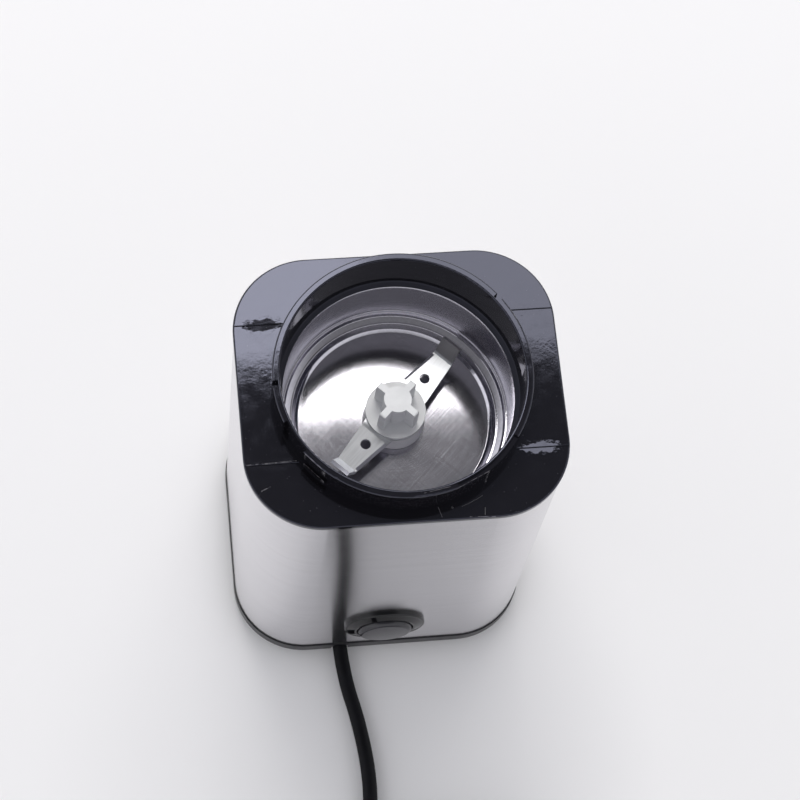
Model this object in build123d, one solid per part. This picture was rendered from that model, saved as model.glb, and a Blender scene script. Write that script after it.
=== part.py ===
from build123d import *
import math
import os

# Outline of the body, seen from above. The front, with the button, faces -Y.
BODY_WIDTH = 100.0
BODY_DEPTH = 88.0
CORNER_RADIUS = 24.0
SLEEVE_INSET = 0.4
SLEEVE_SHEET = 0.6
SKIRT_GAP = 0.1
SKIRT_WALL = 1.6
SKIRT_DEPTH = 5.5
BASE_EDGE_CHAMFER = 0.9
PLATE_EDGE_ROUND = 0.6

# Heights, from the surface that the feet stand on upwards.
FOOT_STAND = 3.0
BASE_SHEET = 2.5
RIM_HEIGHT = 5.3
FAN_CLEARANCE = 10.0
FAN_HEIGHT = 6.5
FAN_TO_BRACKET = 2.0
LOWER_BOSS_HEIGHT = 10.0
BRACKET_TO_COMMUTATOR = 3.0
COMMUTATOR_HEIGHT = 10.0
COMMUTATOR_TO_WINDING = 2.0
WINDING_OVERHANG = 7.0
STACK_HEIGHT = 28.0
WINDING_TO_BRACKET = 3.0
BRACKET_SHEET = 4.0
MOUNT_HEIGHT = 3.0
CARRIER_SHEET = 3.0
SUPPORT_HEIGHT = 5.0
BOWL_SHEET = 0.8
BOWL_DEPTH = 22.6
BOWL_RIM_DROP = 7.6
PLATE_SHEET = 2.0
NECK_HEIGHT = 10.5

# Neck and bowl. The neck stands a margin inside the plate's front and back edges.
NECK_MARGIN = 4.2
NECK_WALL = 2.4
NECK_EDGE_ROUND = 0.6
LIP_WIDTH = 1.4
LIP_SLOPE = 1.2
LIP_EDGE = 0.4
WELL_WALL = 1.8
WELL_DEPTH = 3.4
BOWL_FLANGE_WIDTH = 3.0
BOWL_RIM_ROUND = 0.5
BOWL_WALL_TAPER = 0.85
BEAD_DEPTH = 0.75
BEAD_HEIGHT = 3.4
BEAD_ROUND = 0.9
STEP_DRAW = 2.35
STEP_ROUND = 0.9
FLOOR_DRAW = 1.8
FLOOR_ROUND = 1.6
FLOOR_STEP = 1.7
BOWL_BOSS_RADIUS = 7.2
BOWL_BOSS_HEIGHT = 3.6
BOWL_BOSS_MOUTH = 5.4
SEAL_HEIGHT = 0.5
FLANGE_GAP = 0.2
SUPPORT_CLEARANCE = 1.8
SUPPORT_WALL = 3.0

# Bayonet of the lid, in degrees round the shaft from +X.
SLOT_START = -160.4
SLOT_END = -144.3
LEDGE_END = -130.0
RAMP_START = -70.8
RAMP_END = -34.8
NOTCH_LEFT = -178.5
NOTCH_RIGHT = 36.2
NOTCH_ANGLE = 3.4
NOTCH_DEPTH = 2.0
NOTCH_WALL = 0.7
SLOT_WALL = 1.2
SLOT_FLOOR = 1.5
LEDGE_DROP = 4.5
RAMP_DROP = 0.9

# Fine creases across the side margins of the top.
CREASE_REACH = 22.8
CREASE_WIDTH = 0.45

# Columns and tie screws near the corners.
COLUMN_INSET = 14.0
COLUMN_RADIUS = 4.5
TIE_SCREW_RADIUS = 1.6
TIE_SCREW_GAP = 0.4
TIE_SCREW_GRIP = 14.0
TIE_HEAD_RADIUS = 3.2
TIE_HEAD_HEIGHT = 2.4
RIB_SHEET = 1.6
RIB_REACH = 12.0
HEAD_GAP = 0.2
SCREW_TIP_GAP = 2.0
FOOT_RADIUS = 5.5
FOOT_SOCKET = 2.6
FOOT_WALL = 1.6
FOOT_GAP = 0.1

# Shaft and what turns on it.
SHAFT_RADIUS = 3.0
SHAFT_RUNNING_GAP = 0.05
SHAFT_TAIL = 1.0
SHAFT_GRIP = 6.2
HUB_RADIUS = 9.5
HUB_SKIRT_RADIUS = 9.9
HUB_SKIRT_WALL = 1.5
HUB_ROOF = 2.0
HUB_FLOOR_GAP = 0.5
HUB_DROP = 6.3
HUB_FLANGE = 1.2
BLADE_SHEET = 1.2
BLADE_TURN = 45.0
BLADE_ROOT = 6.4
BLADE_ROOM = 6.8
BLADE_BEND_WIDTH = 7.0
BLADE_TIP_LENGTH = 7.8
BLADE_TIP_ANGLE = 60.0
BLADE_HOLE_REACH = 14.6
BLADE_HOLE_RADIUS = 1.65
BLADE_BEVEL = 0.9
BLADE_TIP_TAPER = 0.2
KNOB_HEIGHT = 9.5
KNOB_POST_RADIUS = 4.5
KNOB_FIN_REACH = 7.8
KNOB_FIN_SHEET = 2.5
KNOB_FINS = 4
KNOB_DRAFT = 1.0
KNOB_EDGE_ROUND = 0.8

# Motor.
ROTOR_RADIUS = 17.0
AIR_GAP = 0.5
ROTOR_SLOTS = 10
ROTOR_SLOT_WIDTH = 3.0
ROTOR_SLOT_DEPTH = 6.0
WINDING_RADIUS = 14.5
WINDING_CORE_RADIUS = 5.0
COMMUTATOR_RADIUS = 9.5
COMMUTATOR_BARS = 20
COMMUTATOR_CUT = 0.5
RISER_RADIUS = 10.6
RISER_HEIGHT = 2.0
FAN_RADIUS = 23.0
FAN_SHEET = 1.5
FAN_BLADES = 9
FAN_BLADE_SHEET = 1.4
FAN_HUB_RADIUS = 6.0
STATOR_WIDTH = 62.0
STATOR_DEPTH = 50.0
STATOR_CORNER = 8.0
STATOR_YOKE = 6.0
POLE_SHEET = 3.0
POLE_ANGLE = 55.0
POLE_NECK = 16.0
COIL_SHEET = 3.8
COIL_GAP = 0.3
COIL_WIDTH = 28.0
BOLT_X = 26.0
BOLT_Y = 20.0
BOLT_RADIUS = 1.6
BOLT_HEAD_RADIUS = 3.0
BOLT_HEAD_HEIGHT = 2.8
NUT_HEIGHT = 2.4
LEG_RADIUS = 3.4
BRACKET_BAR = 20.0
BRACKET_END = 8.0
BOSS_WALL = 1.5
UPPER_BOSS_HEIGHT = 8.0
BEARING_RADIUS = 8.0
BEARING_HEIGHT = 6.0
MOUNT_RADIUS = 5.0
TUBE_WIDTH = 7.0
TUBE_HEIGHT = 8.0
TUBE_WALL = 0.5
TUBE_LENGTH = 14.0
TUBE_STAND_OFF = 1.4
BRUSH_GAP = 0.1
BRUSH_LENGTH = 11.0
CARRIER_EDGE = 5.5
CARRIER_BORE_GAP = 2.5
CARRIER_SLOT_WIDTH = 5.0
CARRIER_SLOT_LAND = 12.0
VENT_START = 8.0
VENT_END = 14.0
VENT_ANGLE = 14.0
VENTS = 8

# Button and its bezel, low on the front and a little left of the middle.
BUTTON_X = -1.2
BUTTON_HEIGHT = 30.4
BUTTON_RADIUS = 9.2
BUTTON_STAND = 4.4
BUTTON_CROWN = 0.4
BUTTON_FACE_RADIUS = 7.5
BUTTON_TRAVEL = 3.0
BUTTON_FLANGE_RADIUS = 11.0
BUTTON_FLANGE_SHEET = 1.5
BUTTON_STOP_GAP = 0.3
STEM_RADIUS = 3.0
STEM_GAP = 0.4
BEZEL_RADIUS = 13.6
BEZEL_LIP_RADIUS = 9.65
BEZEL_LIP_FLAT = 0.7
BEZEL_STAND = 2.4
BEZEL_EDGE_STAND = 1.1
BEZEL_SHOULDER = 0.8
BEZEL_TUBE_RADIUS = 12.0
BEZEL_TUBE_LENGTH = 5.2
BEZEL_HOLE_GAP = 0.2
CLIP_RADIUS = 14.6
CLIP_SHEET = 1.0
CLIP_GAP = 0.4
SPRING_RADIUS = 4.7
SPRING_WIRE = 0.7
SPRING_TURNS = 2
SPRING_SLACK = 0.02
SPRING_LENGTH = 5.7

# Run switch behind the button. Its lever swings about an upright pin.
SWITCH_SHEET = 2.0
SWITCH_LENGTH = 20.0
SWITCH_CLEARANCE = 1.8
SWITCH_HEIGHT = 6.4
LEVER_SHEET = 0.5
LEVER_WIDTH = 4.0
LEVER_ARM = 16.0
LEVER_OVERHANG = 3.0
LEVER_PIN_RADIUS = 0.5
LEVER_KNUCKLE_RADIUS = 1.2
EAR_SHEET = 0.9
LEVER_STAND_OFF = 1.6
LEVER_GAP = 0.35
PLUNGER_ARM = 5.0
PLUNGER_RADIUS = 1.0
PLUNGER_GAP = 0.3
PLUNGER_REST = 1.5
SPRING_SEAT_TO_LEVER = 5.6
SHELF_SHEET = 1.8
BRACKET_FOOT = 7.0
BRACKET_SIDE = 4.0
BRACKET_CLEARANCE = 3.0
BRACKET_SCREW_RADIUS = 1.3
BRACKET_SCREW_EDGE = 4.0

# Cord, its strain relief and the tunnel under the base that it leaves by.
CORD_DIAMETER = 5.0
CORD_X = -15.0
CORD_TIP_INSET = 4.0
CORD_TIP_Z = 4.74
RELIEF_RUN = 21.2
RELIEF_RISE = 3.66
RELIEF_ROOT_RADIUS = 4.4
RELIEF_TIP_RADIUS = 3.1
TUNNEL_WIDTH = 11.2
TUNNEL_WALL = 1.6
TUNNEL_HEIGHT = 10.2
NOTCH_WIDTH = 5.8
NOTCH_TOP = 7.5
CLAMP_WIDTH = 16.0
CLAMP_LENGTH = 6.0
CLAMP_HEIGHT = 8.0
CLAMP_TO_GLAND = 3.6
INNER_CORD_LENGTH = 13.0
SUPPRESSOR_SIZE = (10.0, 8.0, 15.0)
SUPPRESSOR_CLEARANCE = 1.8

# The put-away coil lies ahead of the front, and the plug past it.
COIL_ENTRY = (-16.5, -146.0)
COIL_OUTER_RADIUS = 33.0
COIL_PITCH = 5.6
COIL_TURNS_IN = 5
COIL_TURNS_OUT = 4
COIL_CLIMB_RADIUS = 19.0
TIE_SHEET = 0.8
TIE_GAP = 0.1
TIE_WIDTH = 9.0
PLUG_WIDTH = 35.0
PLUG_THICKNESS = 13.7
PLUG_LENGTH = 34.0
PIN_RADIUS = 2.0
PIN_LENGTH = 19.0
PIN_SPACING = 18.6

# Heights that follow from those above.
BASE_LOW = FOOT_STAND
BASE_FLOOR = BASE_LOW + BASE_SHEET
RIM_TOP = BASE_LOW + RIM_HEIGHT
FAN_LOW = BASE_FLOOR + FAN_CLEARANCE
FAN_TOP = FAN_LOW + FAN_HEIGHT
LOWER_BOSS_LOW = FAN_TOP + FAN_TO_BRACKET
LOWER_BRACKET_TOP = LOWER_BOSS_LOW + LOWER_BOSS_HEIGHT
COMMUTATOR_LOW = LOWER_BRACKET_TOP + BRACKET_TO_COMMUTATOR
COMMUTATOR_TOP = COMMUTATOR_LOW + COMMUTATOR_HEIGHT
STACK_LOW = COMMUTATOR_TOP + COMMUTATOR_TO_WINDING + WINDING_OVERHANG
STACK_TOP = STACK_LOW + STACK_HEIGHT
UPPER_BRACKET_LOW = STACK_TOP + WINDING_OVERHANG + WINDING_TO_BRACKET
UPPER_BRACKET_TOP = UPPER_BRACKET_LOW + BRACKET_SHEET
CARRIER_LOW = UPPER_BRACKET_TOP + MOUNT_HEIGHT
CARRIER_TOP = CARRIER_LOW + CARRIER_SHEET
BOWL_UNDERSIDE = CARRIER_TOP + SUPPORT_HEIGHT
BOWL_FLOOR = BOWL_UNDERSIDE + BOWL_SHEET
BOWL_RIM = BOWL_FLOOR + BOWL_DEPTH
PLATE_TOP = BOWL_RIM + BOWL_RIM_DROP
PLATE_LOW = PLATE_TOP - PLATE_SHEET
NECK_TOP = PLATE_TOP + NECK_HEIGHT
BLADE_LOW = BOWL_FLOOR + HUB_FLOOR_GAP + HUB_DROP
BLADE_TOP = BLADE_LOW + BLADE_SHEET
KNOB_LOW = BLADE_TOP + HUB_FLANGE
SHAFT_TOP = BLADE_TOP + SHAFT_GRIP
SHAFT_LOW = FAN_LOW - SHAFT_TAIL

# Widths that follow from those above.
NECK_OUTER_RADIUS = BODY_DEPTH / 2 - NECK_MARGIN
NECK_INNER_RADIUS = NECK_OUTER_RADIUS - NECK_WALL
BOWL_RIM_RADIUS = NECK_INNER_RADIUS - LIP_WIDTH
BOWL_FLANGE_RADIUS = BOWL_RIM_RADIUS + BOWL_FLANGE_WIDTH
STEP_RADIUS = BOWL_RIM_RADIUS - BOWL_WALL_TAPER - STEP_DRAW
FLOOR_RADIUS = STEP_RADIUS - FLOOR_DRAW
SUPPORT_RADIUS = math.hypot(BOLT_X, BOLT_Y) - BOLT_HEAD_RADIUS - SUPPORT_CLEARANCE
BLADE_BEND_REACH = FLOOR_RADIUS - BLADE_ROOM
SKIRT_INSET = SLEEVE_INSET + SLEEVE_SHEET + SKIRT_GAP
COLUMN_X = BODY_WIDTH / 2 - COLUMN_INSET
COLUMN_Y = BODY_DEPTH / 2 - COLUMN_INSET
COLUMNS = [(x, y) for x in (-COLUMN_X, COLUMN_X) for y in (-COLUMN_Y, COLUMN_Y)]
BOLTS = [(x, y) for x in (-BOLT_X, BOLT_X) for y in (-BOLT_Y, BOLT_Y)]
FOOT_BOSS_RADIUS = FOOT_RADIUS + FOOT_GAP + FOOT_WALL
FRONT_FACE = -BODY_DEPTH / 2 + SLEEVE_INSET
SKIRT_FRONT = -BODY_DEPTH / 2 + SKIRT_INSET + SKIRT_WALL
SUPPRESSOR_LEFT = COLUMN_X - FOOT_BOSS_RADIUS - SUPPRESSOR_CLEARANCE - SUPPRESSOR_SIZE[0]
BOSS_RADIUS = BEARING_RADIUS + BOSS_WALL
BUTTON_FLANGE_BACK = FRONT_FACE + BEZEL_TUBE_LENGTH + BUTTON_STOP_GAP + BUTTON_FLANGE_SHEET
SWITCH_WALL_FRONT = BUTTON_FLANGE_BACK + SPRING_LENGTH
LEVER_SWING = math.degrees(BUTTON_TRAVEL / LEVER_ARM)
LEVER_REST_Y = SWITCH_WALL_FRONT + SPRING_SEAT_TO_LEVER
LEVER_PIN_Y = LEVER_REST_Y + LEVER_ARM * math.tan(math.radians(LEVER_SWING))
LEVER_FRONT_Y = LEVER_REST_Y - LEVER_SHEET / 2 / math.cos(math.radians(LEVER_SWING))
LEVER_PIN_X = BUTTON_X - LEVER_ARM
SWITCH_FACE_Y = LEVER_PIN_Y + LEVER_STAND_OFF
SWITCH_DEPTH = -BRACKET_BAR / 2 - SWITCH_CLEARANCE - SWITCH_FACE_Y
STEM_TIP_Y = LEVER_FRONT_Y - LEVER_GAP
PLUNGER_TRAVEL = BUTTON_TRAVEL * PLUNGER_ARM / LEVER_ARM
CORD_TIP_Y = -BODY_DEPTH / 2 + CORD_TIP_INSET
CORD_GLAND_Y = CORD_TIP_Y + RELIEF_RUN
CORD_GLAND_Z = CORD_TIP_Z + RELIEF_RISE

# The origin is the middle of the footprint, the button included, so the shaft stands behind it.
SHAFT_BACK = (BUTTON_STAND - SLEEVE_INSET) / 2


def rod(radius, low, high):
    """Upright cylinder between two heights."""
    return Pos(0, 0, low) * extrude(Circle(radius), high - low)


def ring(outer, inner, low, high):
    """Upright tube between two heights."""
    return Pos(0, 0, low) * extrude(Circle(outer) - Circle(inner), high - low)


def block(low, high):
    """Box between two corners."""
    size = [b - a for a, b in zip(low, high)]
    middle = [(a + b) / 2 for a, b in zip(low, high)]
    return Pos(*middle) * Box(*size)


def outline(inset):
    """Rounded body outline, drawn in from the widest one."""
    return RectangleRounded(BODY_WIDTH - 2 * inset, BODY_DEPTH - 2 * inset, CORNER_RADIUS - inset)


def slab(inset, low, high):
    """Solid with the body's outline between two heights."""
    return Pos(0, 0, low) * extrude(outline(inset), high - low)


def band(inset, wall, low, high):
    """Upright wall that follows the body's outline."""
    return Pos(0, 0, low) * extrude(outline(inset) - outline(inset + wall), high - low)


def turned(points):
    """Solid turned about the shaft from a closed outline of radius and height."""
    face = make_face(Polyline(*[(r, 0, z) for r, z in points], close=True))
    return revolve(face, Axis.Z)


def polar(radius, degrees):
    """Point at a radius and an angle from +X."""
    return (radius * math.cos(math.radians(degrees)), radius * math.sin(math.radians(degrees)))


def sector(inner, outer, start, end, low, high):
    """Part of a ring between two angles and two heights."""
    edges = [
        Line(polar(inner, start), polar(outer, start)),
        CenterArc((0, 0), outer, start, end - start),
        Line(polar(outer, end), polar(inner, end)),
        CenterArc((0, 0), inner, start, end - start),
    ]
    return Pos(0, 0, low) * extrude(make_face(edges), high - low)


def facing_front(shape):
    """Place a solid turned about Z so that it points out of the front at the button."""
    return Pos(BUTTON_X, FRONT_FACE, BUTTON_HEIGHT) * Rot(X=90) * shape


def at_points(shape, points):
    """Copies of a solid at several places, fused where they meet nothing."""
    return [Pos(x, y, 0) * shape for x, y in points]


def biarc(start, start_way, end, end_way):
    """Two tangent arcs between two points with given directions."""
    p0, p1 = Vector(*start), Vector(*end)
    t0, t1 = Vector(*start_way).normalized(), Vector(*end_way).normalized()
    span = p1 - p0
    both = t0 + t1
    square = both.dot(both) - 4
    half = -2 * span.dot(both)
    reach = (-half - math.sqrt(half * half - 4 * square * span.dot(span))) / (2 * square)
    q0 = p0 + t0 * reach
    q1 = p1 - t1 * reach
    joint = (q0 + q1) * 0.5
    return [TangentArc(p0, joint, tangent=t0), TangentArc(joint, p1, tangent=q1 - q0)]


def swept(edges, radius):
    """Round tube along tangent edges."""
    path = Wire(edges)
    start = Plane(origin=path @ 0, z_dir=path % 0)
    return sweep(start * Circle(radius), path=path)


def least_gap(edges, diameter, count=1200):
    """Least distance between parts of a wound tube that are not neighbours."""
    path = Wire(edges)
    points = [path @ (i / count) for i in range(count + 1)]
    step = path.length / count
    skip = int(2.2 * diameter / step)
    least = 1e9
    for i in range(0, count + 1, 2):
        for j in range(i + skip, count + 1, 2):
            least = min(least, (points[i] - points[j]).length)
    return least - diameter


def top_cover():
    """Black plate with the neck, the wall down to the bowl, the skirt and four columns."""
    plate = slab(0, PLATE_LOW, PLATE_TOP)
    plate = fillet(plate.faces().sort_by(Axis.Z)[-1].outer_wire().edges(), PLATE_EDGE_ROUND)
    well = BOWL_FLANGE_RADIUS + FLANGE_GAP
    well_low = BOWL_RIM - WELL_DEPTH
    lip_low = BOWL_RIM + SEAL_HEIGHT
    wall = turned([
        (NECK_INNER_RADIUS, lip_low + LIP_EDGE + LIP_SLOPE),
        (NECK_INNER_RADIUS, NECK_TOP),
        (NECK_OUTER_RADIUS, NECK_TOP),
        (NECK_OUTER_RADIUS, PLATE_LOW),
        (well + WELL_WALL, PLATE_LOW),
        (well + WELL_WALL, well_low),
        (well, well_low),
        (well, lip_low),
        (BOWL_RIM_RADIUS, lip_low),
        (BOWL_RIM_RADIUS, lip_low + LIP_EDGE),
    ])
    wall = fillet(wall.edges().filter_by(GeomType.CIRCLE).group_by(Axis.Z)[-1], NECK_EDGE_ROUND)
    skirt = band(SKIRT_INSET, SKIRT_WALL, PLATE_LOW - SKIRT_DEPTH, PLATE_LOW)
    column = rod(COLUMN_RADIUS, CARRIER_TOP, PLATE_LOW)
    rib = block((-RIB_SHEET / 2, 0, well_low), (RIB_SHEET / 2, RIB_REACH, PLATE_LOW))
    ribs = [
        Pos(x, y, 0) * Rot(Z=math.degrees(math.atan2(-y, -x)) - 90) * rib
        for x, y in COLUMNS
    ]
    bore = rod(NECK_INNER_RADIUS, PLATE_LOW - 1, NECK_TOP + 1)
    inside = rod(well + WELL_WALL / 2, CARRIER_TOP, PLATE_LOW)
    body = plate - bore
    body = body + skirt + at_points(column, COLUMNS) + [piece - inside for piece in ribs]
    body = body + wall
    hole = rod(TIE_SCREW_RADIUS, CARRIER_TOP, CARRIER_TOP + TIE_SCREW_GRIP + SCREW_TIP_GAP)
    for place in at_points(hole, COLUMNS):
        body = body - place
    return body - bayonet_cuts() - crease_cuts()


def bayonet_cuts():
    """Slots, ledge and notches that the lid's lugs run in."""
    middle = NECK_OUTER_RADIUS - SLOT_WALL
    clear = NECK_OUTER_RADIUS + 1
    floor = PLATE_TOP + SLOT_FLOOR
    entry = sector(middle, clear, SLOT_START, SLOT_END, floor, NECK_TOP + 1)
    track = sector(middle, clear, SLOT_END - 1, LEDGE_END, floor, NECK_TOP - LEDGE_DROP)
    ramp = sector(middle - 0.2, clear, RAMP_START, RAMP_END, NECK_TOP - RAMP_DROP, NECK_TOP + 1)
    half = NOTCH_ANGLE / 2
    bottom = NECK_INNER_RADIUS + NOTCH_WALL
    notches = [
        sector(bottom, clear, a - half, a + half, NECK_TOP - NOTCH_DEPTH, NECK_TOP + 1)
        for a in (NOTCH_LEFT, NOTCH_RIGHT)
    ]
    return [entry, track, ramp] + notches


def crease_cuts():
    """Fine grooves across the side margins of the top."""
    start = math.sqrt(NECK_OUTER_RADIUS**2 - CREASE_REACH**2) + 0.6
    length = BODY_WIDTH / 2 - start + 1
    side = CREASE_WIDTH / math.sqrt(2)
    groove = Rot(X=45) * Box(length, side, side)
    middle = start + length / 2
    return [
        Pos(x, y, PLATE_TOP) * groove
        for x in (-middle, middle)
        for y in (-CREASE_REACH, CREASE_REACH)
    ]


def outer_sleeve():
    """Brushed sheet wrapped round the body, pierced for the button's bezel."""
    sleeve = band(SLEEVE_INSET, SLEEVE_SHEET, RIM_TOP, PLATE_LOW)
    hole = facing_front(rod(BEZEL_TUBE_RADIUS + BEZEL_HOLE_GAP, -5, 5))
    return sleeve - hole


def base_plate():
    """Base with the rim, four posts, vents, and the cord's tunnel."""
    body = slab(0, BASE_LOW, RIM_TOP)
    body = chamfer(body.faces().sort_by(Axis.Z)[0].outer_wire().edges(), BASE_EDGE_CHAMFER)
    body = body - slab(SKIRT_INSET + SKIRT_WALL, BASE_FLOOR, RIM_TOP + 1)
    body = body + band(SKIRT_INSET, SKIRT_WALL, RIM_TOP, RIM_TOP + SKIRT_DEPTH)
    body = body - facing_front(rod(CLIP_RADIUS + CLIP_GAP, -BEZEL_TUBE_LENGTH, 0))
    foot_top = BASE_LOW + FOOT_SOCKET
    post = rod(COLUMN_RADIUS, BASE_FLOOR, CARRIER_LOW)
    foot_boss = rod(FOOT_BOSS_RADIUS, BASE_FLOOR - 1, foot_top + TIE_HEAD_HEIGHT + BASE_SHEET)
    body = body + at_points(post, COLUMNS) + at_points(foot_boss, COLUMNS)
    body = body + tunnel_outer()
    socket = rod(FOOT_RADIUS + FOOT_GAP, BASE_LOW - 1, foot_top)
    head = rod(TIE_HEAD_RADIUS + HEAD_GAP, foot_top - 1, foot_top + TIE_HEAD_HEIGHT)
    bore = rod(TIE_SCREW_RADIUS + TIE_SCREW_GAP, foot_top, CARRIER_LOW + 1)
    for cutter in (socket, head, bore):
        for place in at_points(cutter, COLUMNS):
            body = body - place
    body = body - tunnel_inner()
    vent = sector(VENT_START, VENT_END, -VENT_ANGLE / 2, VENT_ANGLE / 2, BASE_LOW - 1, BASE_FLOOR + 1)
    for turn in range(VENTS):
        body = body - Rot(Z=90 + 360 / VENTS * turn) * vent
    return body


def tunnel_span(extra):
    """Low and high corner of the cord tunnel's inside, grown by a wall."""
    half = TUNNEL_WIDTH / 2 + extra
    back = CORD_GLAND_Y + 0.8 + extra
    front = SKIRT_FRONT - SKIRT_WALL / 2
    return (CORD_X - half, front, BASE_LOW), (CORD_X + half, back, BASE_LOW + TUNNEL_HEIGHT + extra)


def tunnel_outer():
    """Walls of the tunnel, before it is hollowed."""
    low, high = tunnel_span(TUNNEL_WALL)
    return fillet(block(low, high).edges().filter_by(Axis.Y).group_by(Axis.Z)[-1], 3.0)


def tunnel_inner():
    """Space that the strain relief lies in, and the notch through the front rim."""
    low, high = tunnel_span(0)
    space = block((low[0], SKIRT_FRONT, BASE_LOW - 1), high)
    space = fillet(space.edges().filter_by(Axis.Y).group_by(Axis.Z)[-1], 2.0)
    half = NOTCH_WIDTH / 2
    spring_line = NOTCH_TOP - half
    ahead = -BODY_DEPTH / 2 - 1
    behind = SKIRT_FRONT + 1
    notch = block((CORD_X - half, ahead, BASE_LOW - 1), (CORD_X + half, behind, spring_line))
    arch = Pos(CORD_X, 0, spring_line) * Rot(X=90) * rod(half, -behind, -ahead)
    hole = cord_line_plane() * rod(CORD_DIAMETER / 2 + 0.2, -6, 1)
    return [space, notch, arch, hole]


def cord_line_plane():
    """Plane at the gland whose Z points down the slope towards the front."""
    way = (0, CORD_TIP_Y - CORD_GLAND_Y, CORD_TIP_Z - CORD_GLAND_Z)
    return Plane(origin=(CORD_X, CORD_GLAND_Y, CORD_GLAND_Z), x_dir=(1, 0, 0), z_dir=way)


def feet():
    """Four rubber feet, one under each tie screw."""
    foot = rod(FOOT_RADIUS, 0, BASE_LOW + FOOT_SOCKET)
    foot = chamfer(foot.edges().group_by(Axis.Z)[0], 0.8)
    return at_points(foot, COLUMNS)


def tie_screws():
    """Long screws through the base's posts and the carrier into the cover's columns."""
    head_low = BASE_LOW + FOOT_SOCKET
    screw = rod(TIE_HEAD_RADIUS, head_low, head_low + TIE_HEAD_HEIGHT)
    screw = screw + rod(TIE_SCREW_RADIUS, head_low, CARRIER_TOP + TIE_SCREW_GRIP)
    return at_points(screw, COLUMNS)


def motor_carrier():
    """Plate between the posts and the columns that the motor hangs from."""
    reach_x = 2 * (COLUMN_X + CARRIER_EDGE)
    reach_y = 2 * (COLUMN_Y + CARRIER_EDGE)
    sheet = RectangleRounded(reach_x, reach_y, CARRIER_EDGE + 3)
    sheet = sheet - Circle(BOSS_RADIUS + CARRIER_BORE_GAP)
    for x in (-1, 1):
        side_slot = RectangleRounded(CARRIER_SLOT_WIDTH, 2 * (COLUMN_Y - CARRIER_SLOT_LAND), 2)
        sheet = sheet - Pos(x * COLUMN_X, 0) * side_slot
    for y in (-1, 1):
        end_slot = RectangleRounded(2 * (COLUMN_X - CARRIER_SLOT_LAND), CARRIER_SLOT_WIDTH, 2)
        sheet = sheet - Pos(0, y * COLUMN_Y) * end_slot
    for x, y in BOLTS:
        sheet = sheet - Pos(x, y) * Circle(BOLT_RADIUS)
    for x, y in COLUMNS:
        sheet = sheet - Pos(x, y) * Circle(TIE_SCREW_RADIUS + TIE_SCREW_GAP)
    return Pos(0, 0, CARRIER_LOW) * extrude(sheet, CARRIER_SHEET)


def bowl_inside():
    """Radius and height of the bowl's inner surface, from the flange to the shaft."""
    foot = BOWL_FLOOR + FLOOR_STEP + BEAD_HEIGHT
    neck = BOWL_RIM_RADIUS - BOWL_WALL_TAPER
    return [
        (BOWL_FLANGE_RADIUS, BOWL_RIM),
        (BOWL_RIM_RADIUS, BOWL_RIM),
        (neck, foot),
        (neck + BEAD_DEPTH, BOWL_FLOOR + FLOOR_STEP + BEAD_HEIGHT / 2),
        (STEP_RADIUS, BOWL_FLOOR + FLOOR_STEP),
        (FLOOR_RADIUS, BOWL_FLOOR),
        (BOWL_BOSS_RADIUS, BOWL_FLOOR),
        (BOWL_BOSS_RADIUS, BOWL_FLOOR + BOWL_BOSS_HEIGHT),
        (BOWL_BOSS_MOUTH, BOWL_FLOOR + BOWL_BOSS_HEIGHT),
    ]


def thickened(points, sheet):
    """Closed outline of a sheet of even thickness on the far side of a line of points."""
    ways = []
    for a, b in zip(points, points[1:]):
        length = math.dist(a, b)
        ways.append(((b[0] - a[0]) / length, (b[1] - a[1]) / length))
    back = []
    for i, point in enumerate(points):
        before = ways[max(i - 1, 0)]
        after = ways[min(i, len(ways) - 1)]
        normal = (-before[1] - after[1], before[0] + after[0])
        scale = sheet * 2 / (normal[0] ** 2 + normal[1] ** 2)
        back.append((point[0] - normal[0] * scale * -1, point[1] - normal[1] * scale * -1))
    return points + back[::-1]


def bowl():
    """Spun stainless bowl: flange, tapered wall, rolled bead, step, floor and the shaft's boss."""
    inside = bowl_inside()
    outline_points = thickened(inside, BOWL_SHEET)
    outside = outline_points[:len(inside) - 1:-1]
    face = make_face(Polyline(*[(r, 0, z) for r, z in outline_points], close=True))
    rounds = [BOWL_RIM_ROUND, BEAD_ROUND, BEAD_ROUND, STEP_ROUND, FLOOR_ROUND]
    for inner, outer, radius in zip(inside[1:6], outside[1:6], rounds):
        face = fillet(corner_of(face, inner), radius)
        face = fillet(corner_of(face, outer), radius)
    return revolve(face, Axis.Z)


def corner_of(face, point):
    """Corner of an upright outline nearest to a radius and a height."""
    return face.vertices().sort_by_distance((point[0], 0, point[1]))[0]


def bowl_seal():
    """Rubber ring between the bowl's flange and the cover's lip."""
    return ring(BOWL_FLANGE_RADIUS, BOWL_RIM_RADIUS + 0.5, BOWL_RIM, BOWL_RIM + SEAL_HEIGHT)


def bowl_support():
    """Ring on the carrier that holds the bowl up against its seal."""
    return ring(SUPPORT_RADIUS, SUPPORT_RADIUS - SUPPORT_WALL, CARRIER_TOP, BOWL_UNDERSIDE)


def shaft_seal():
    """Rubber seal round the shaft under the bowl's boss."""
    top = BOWL_UNDERSIDE + BOWL_BOSS_HEIGHT
    outer = BOWL_BOSS_RADIUS - BOWL_SHEET
    return ring(outer, SHAFT_RADIUS + SHAFT_RUNNING_GAP, BOWL_UNDERSIDE - 1, top)


def motor_shaft():
    """Steel shaft from below the fan up into the knob."""
    shaft = rod(SHAFT_RADIUS, SHAFT_LOW, SHAFT_TOP)
    return chamfer(shaft.edges().filter_by(GeomType.CIRCLE), 0.4)


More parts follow.
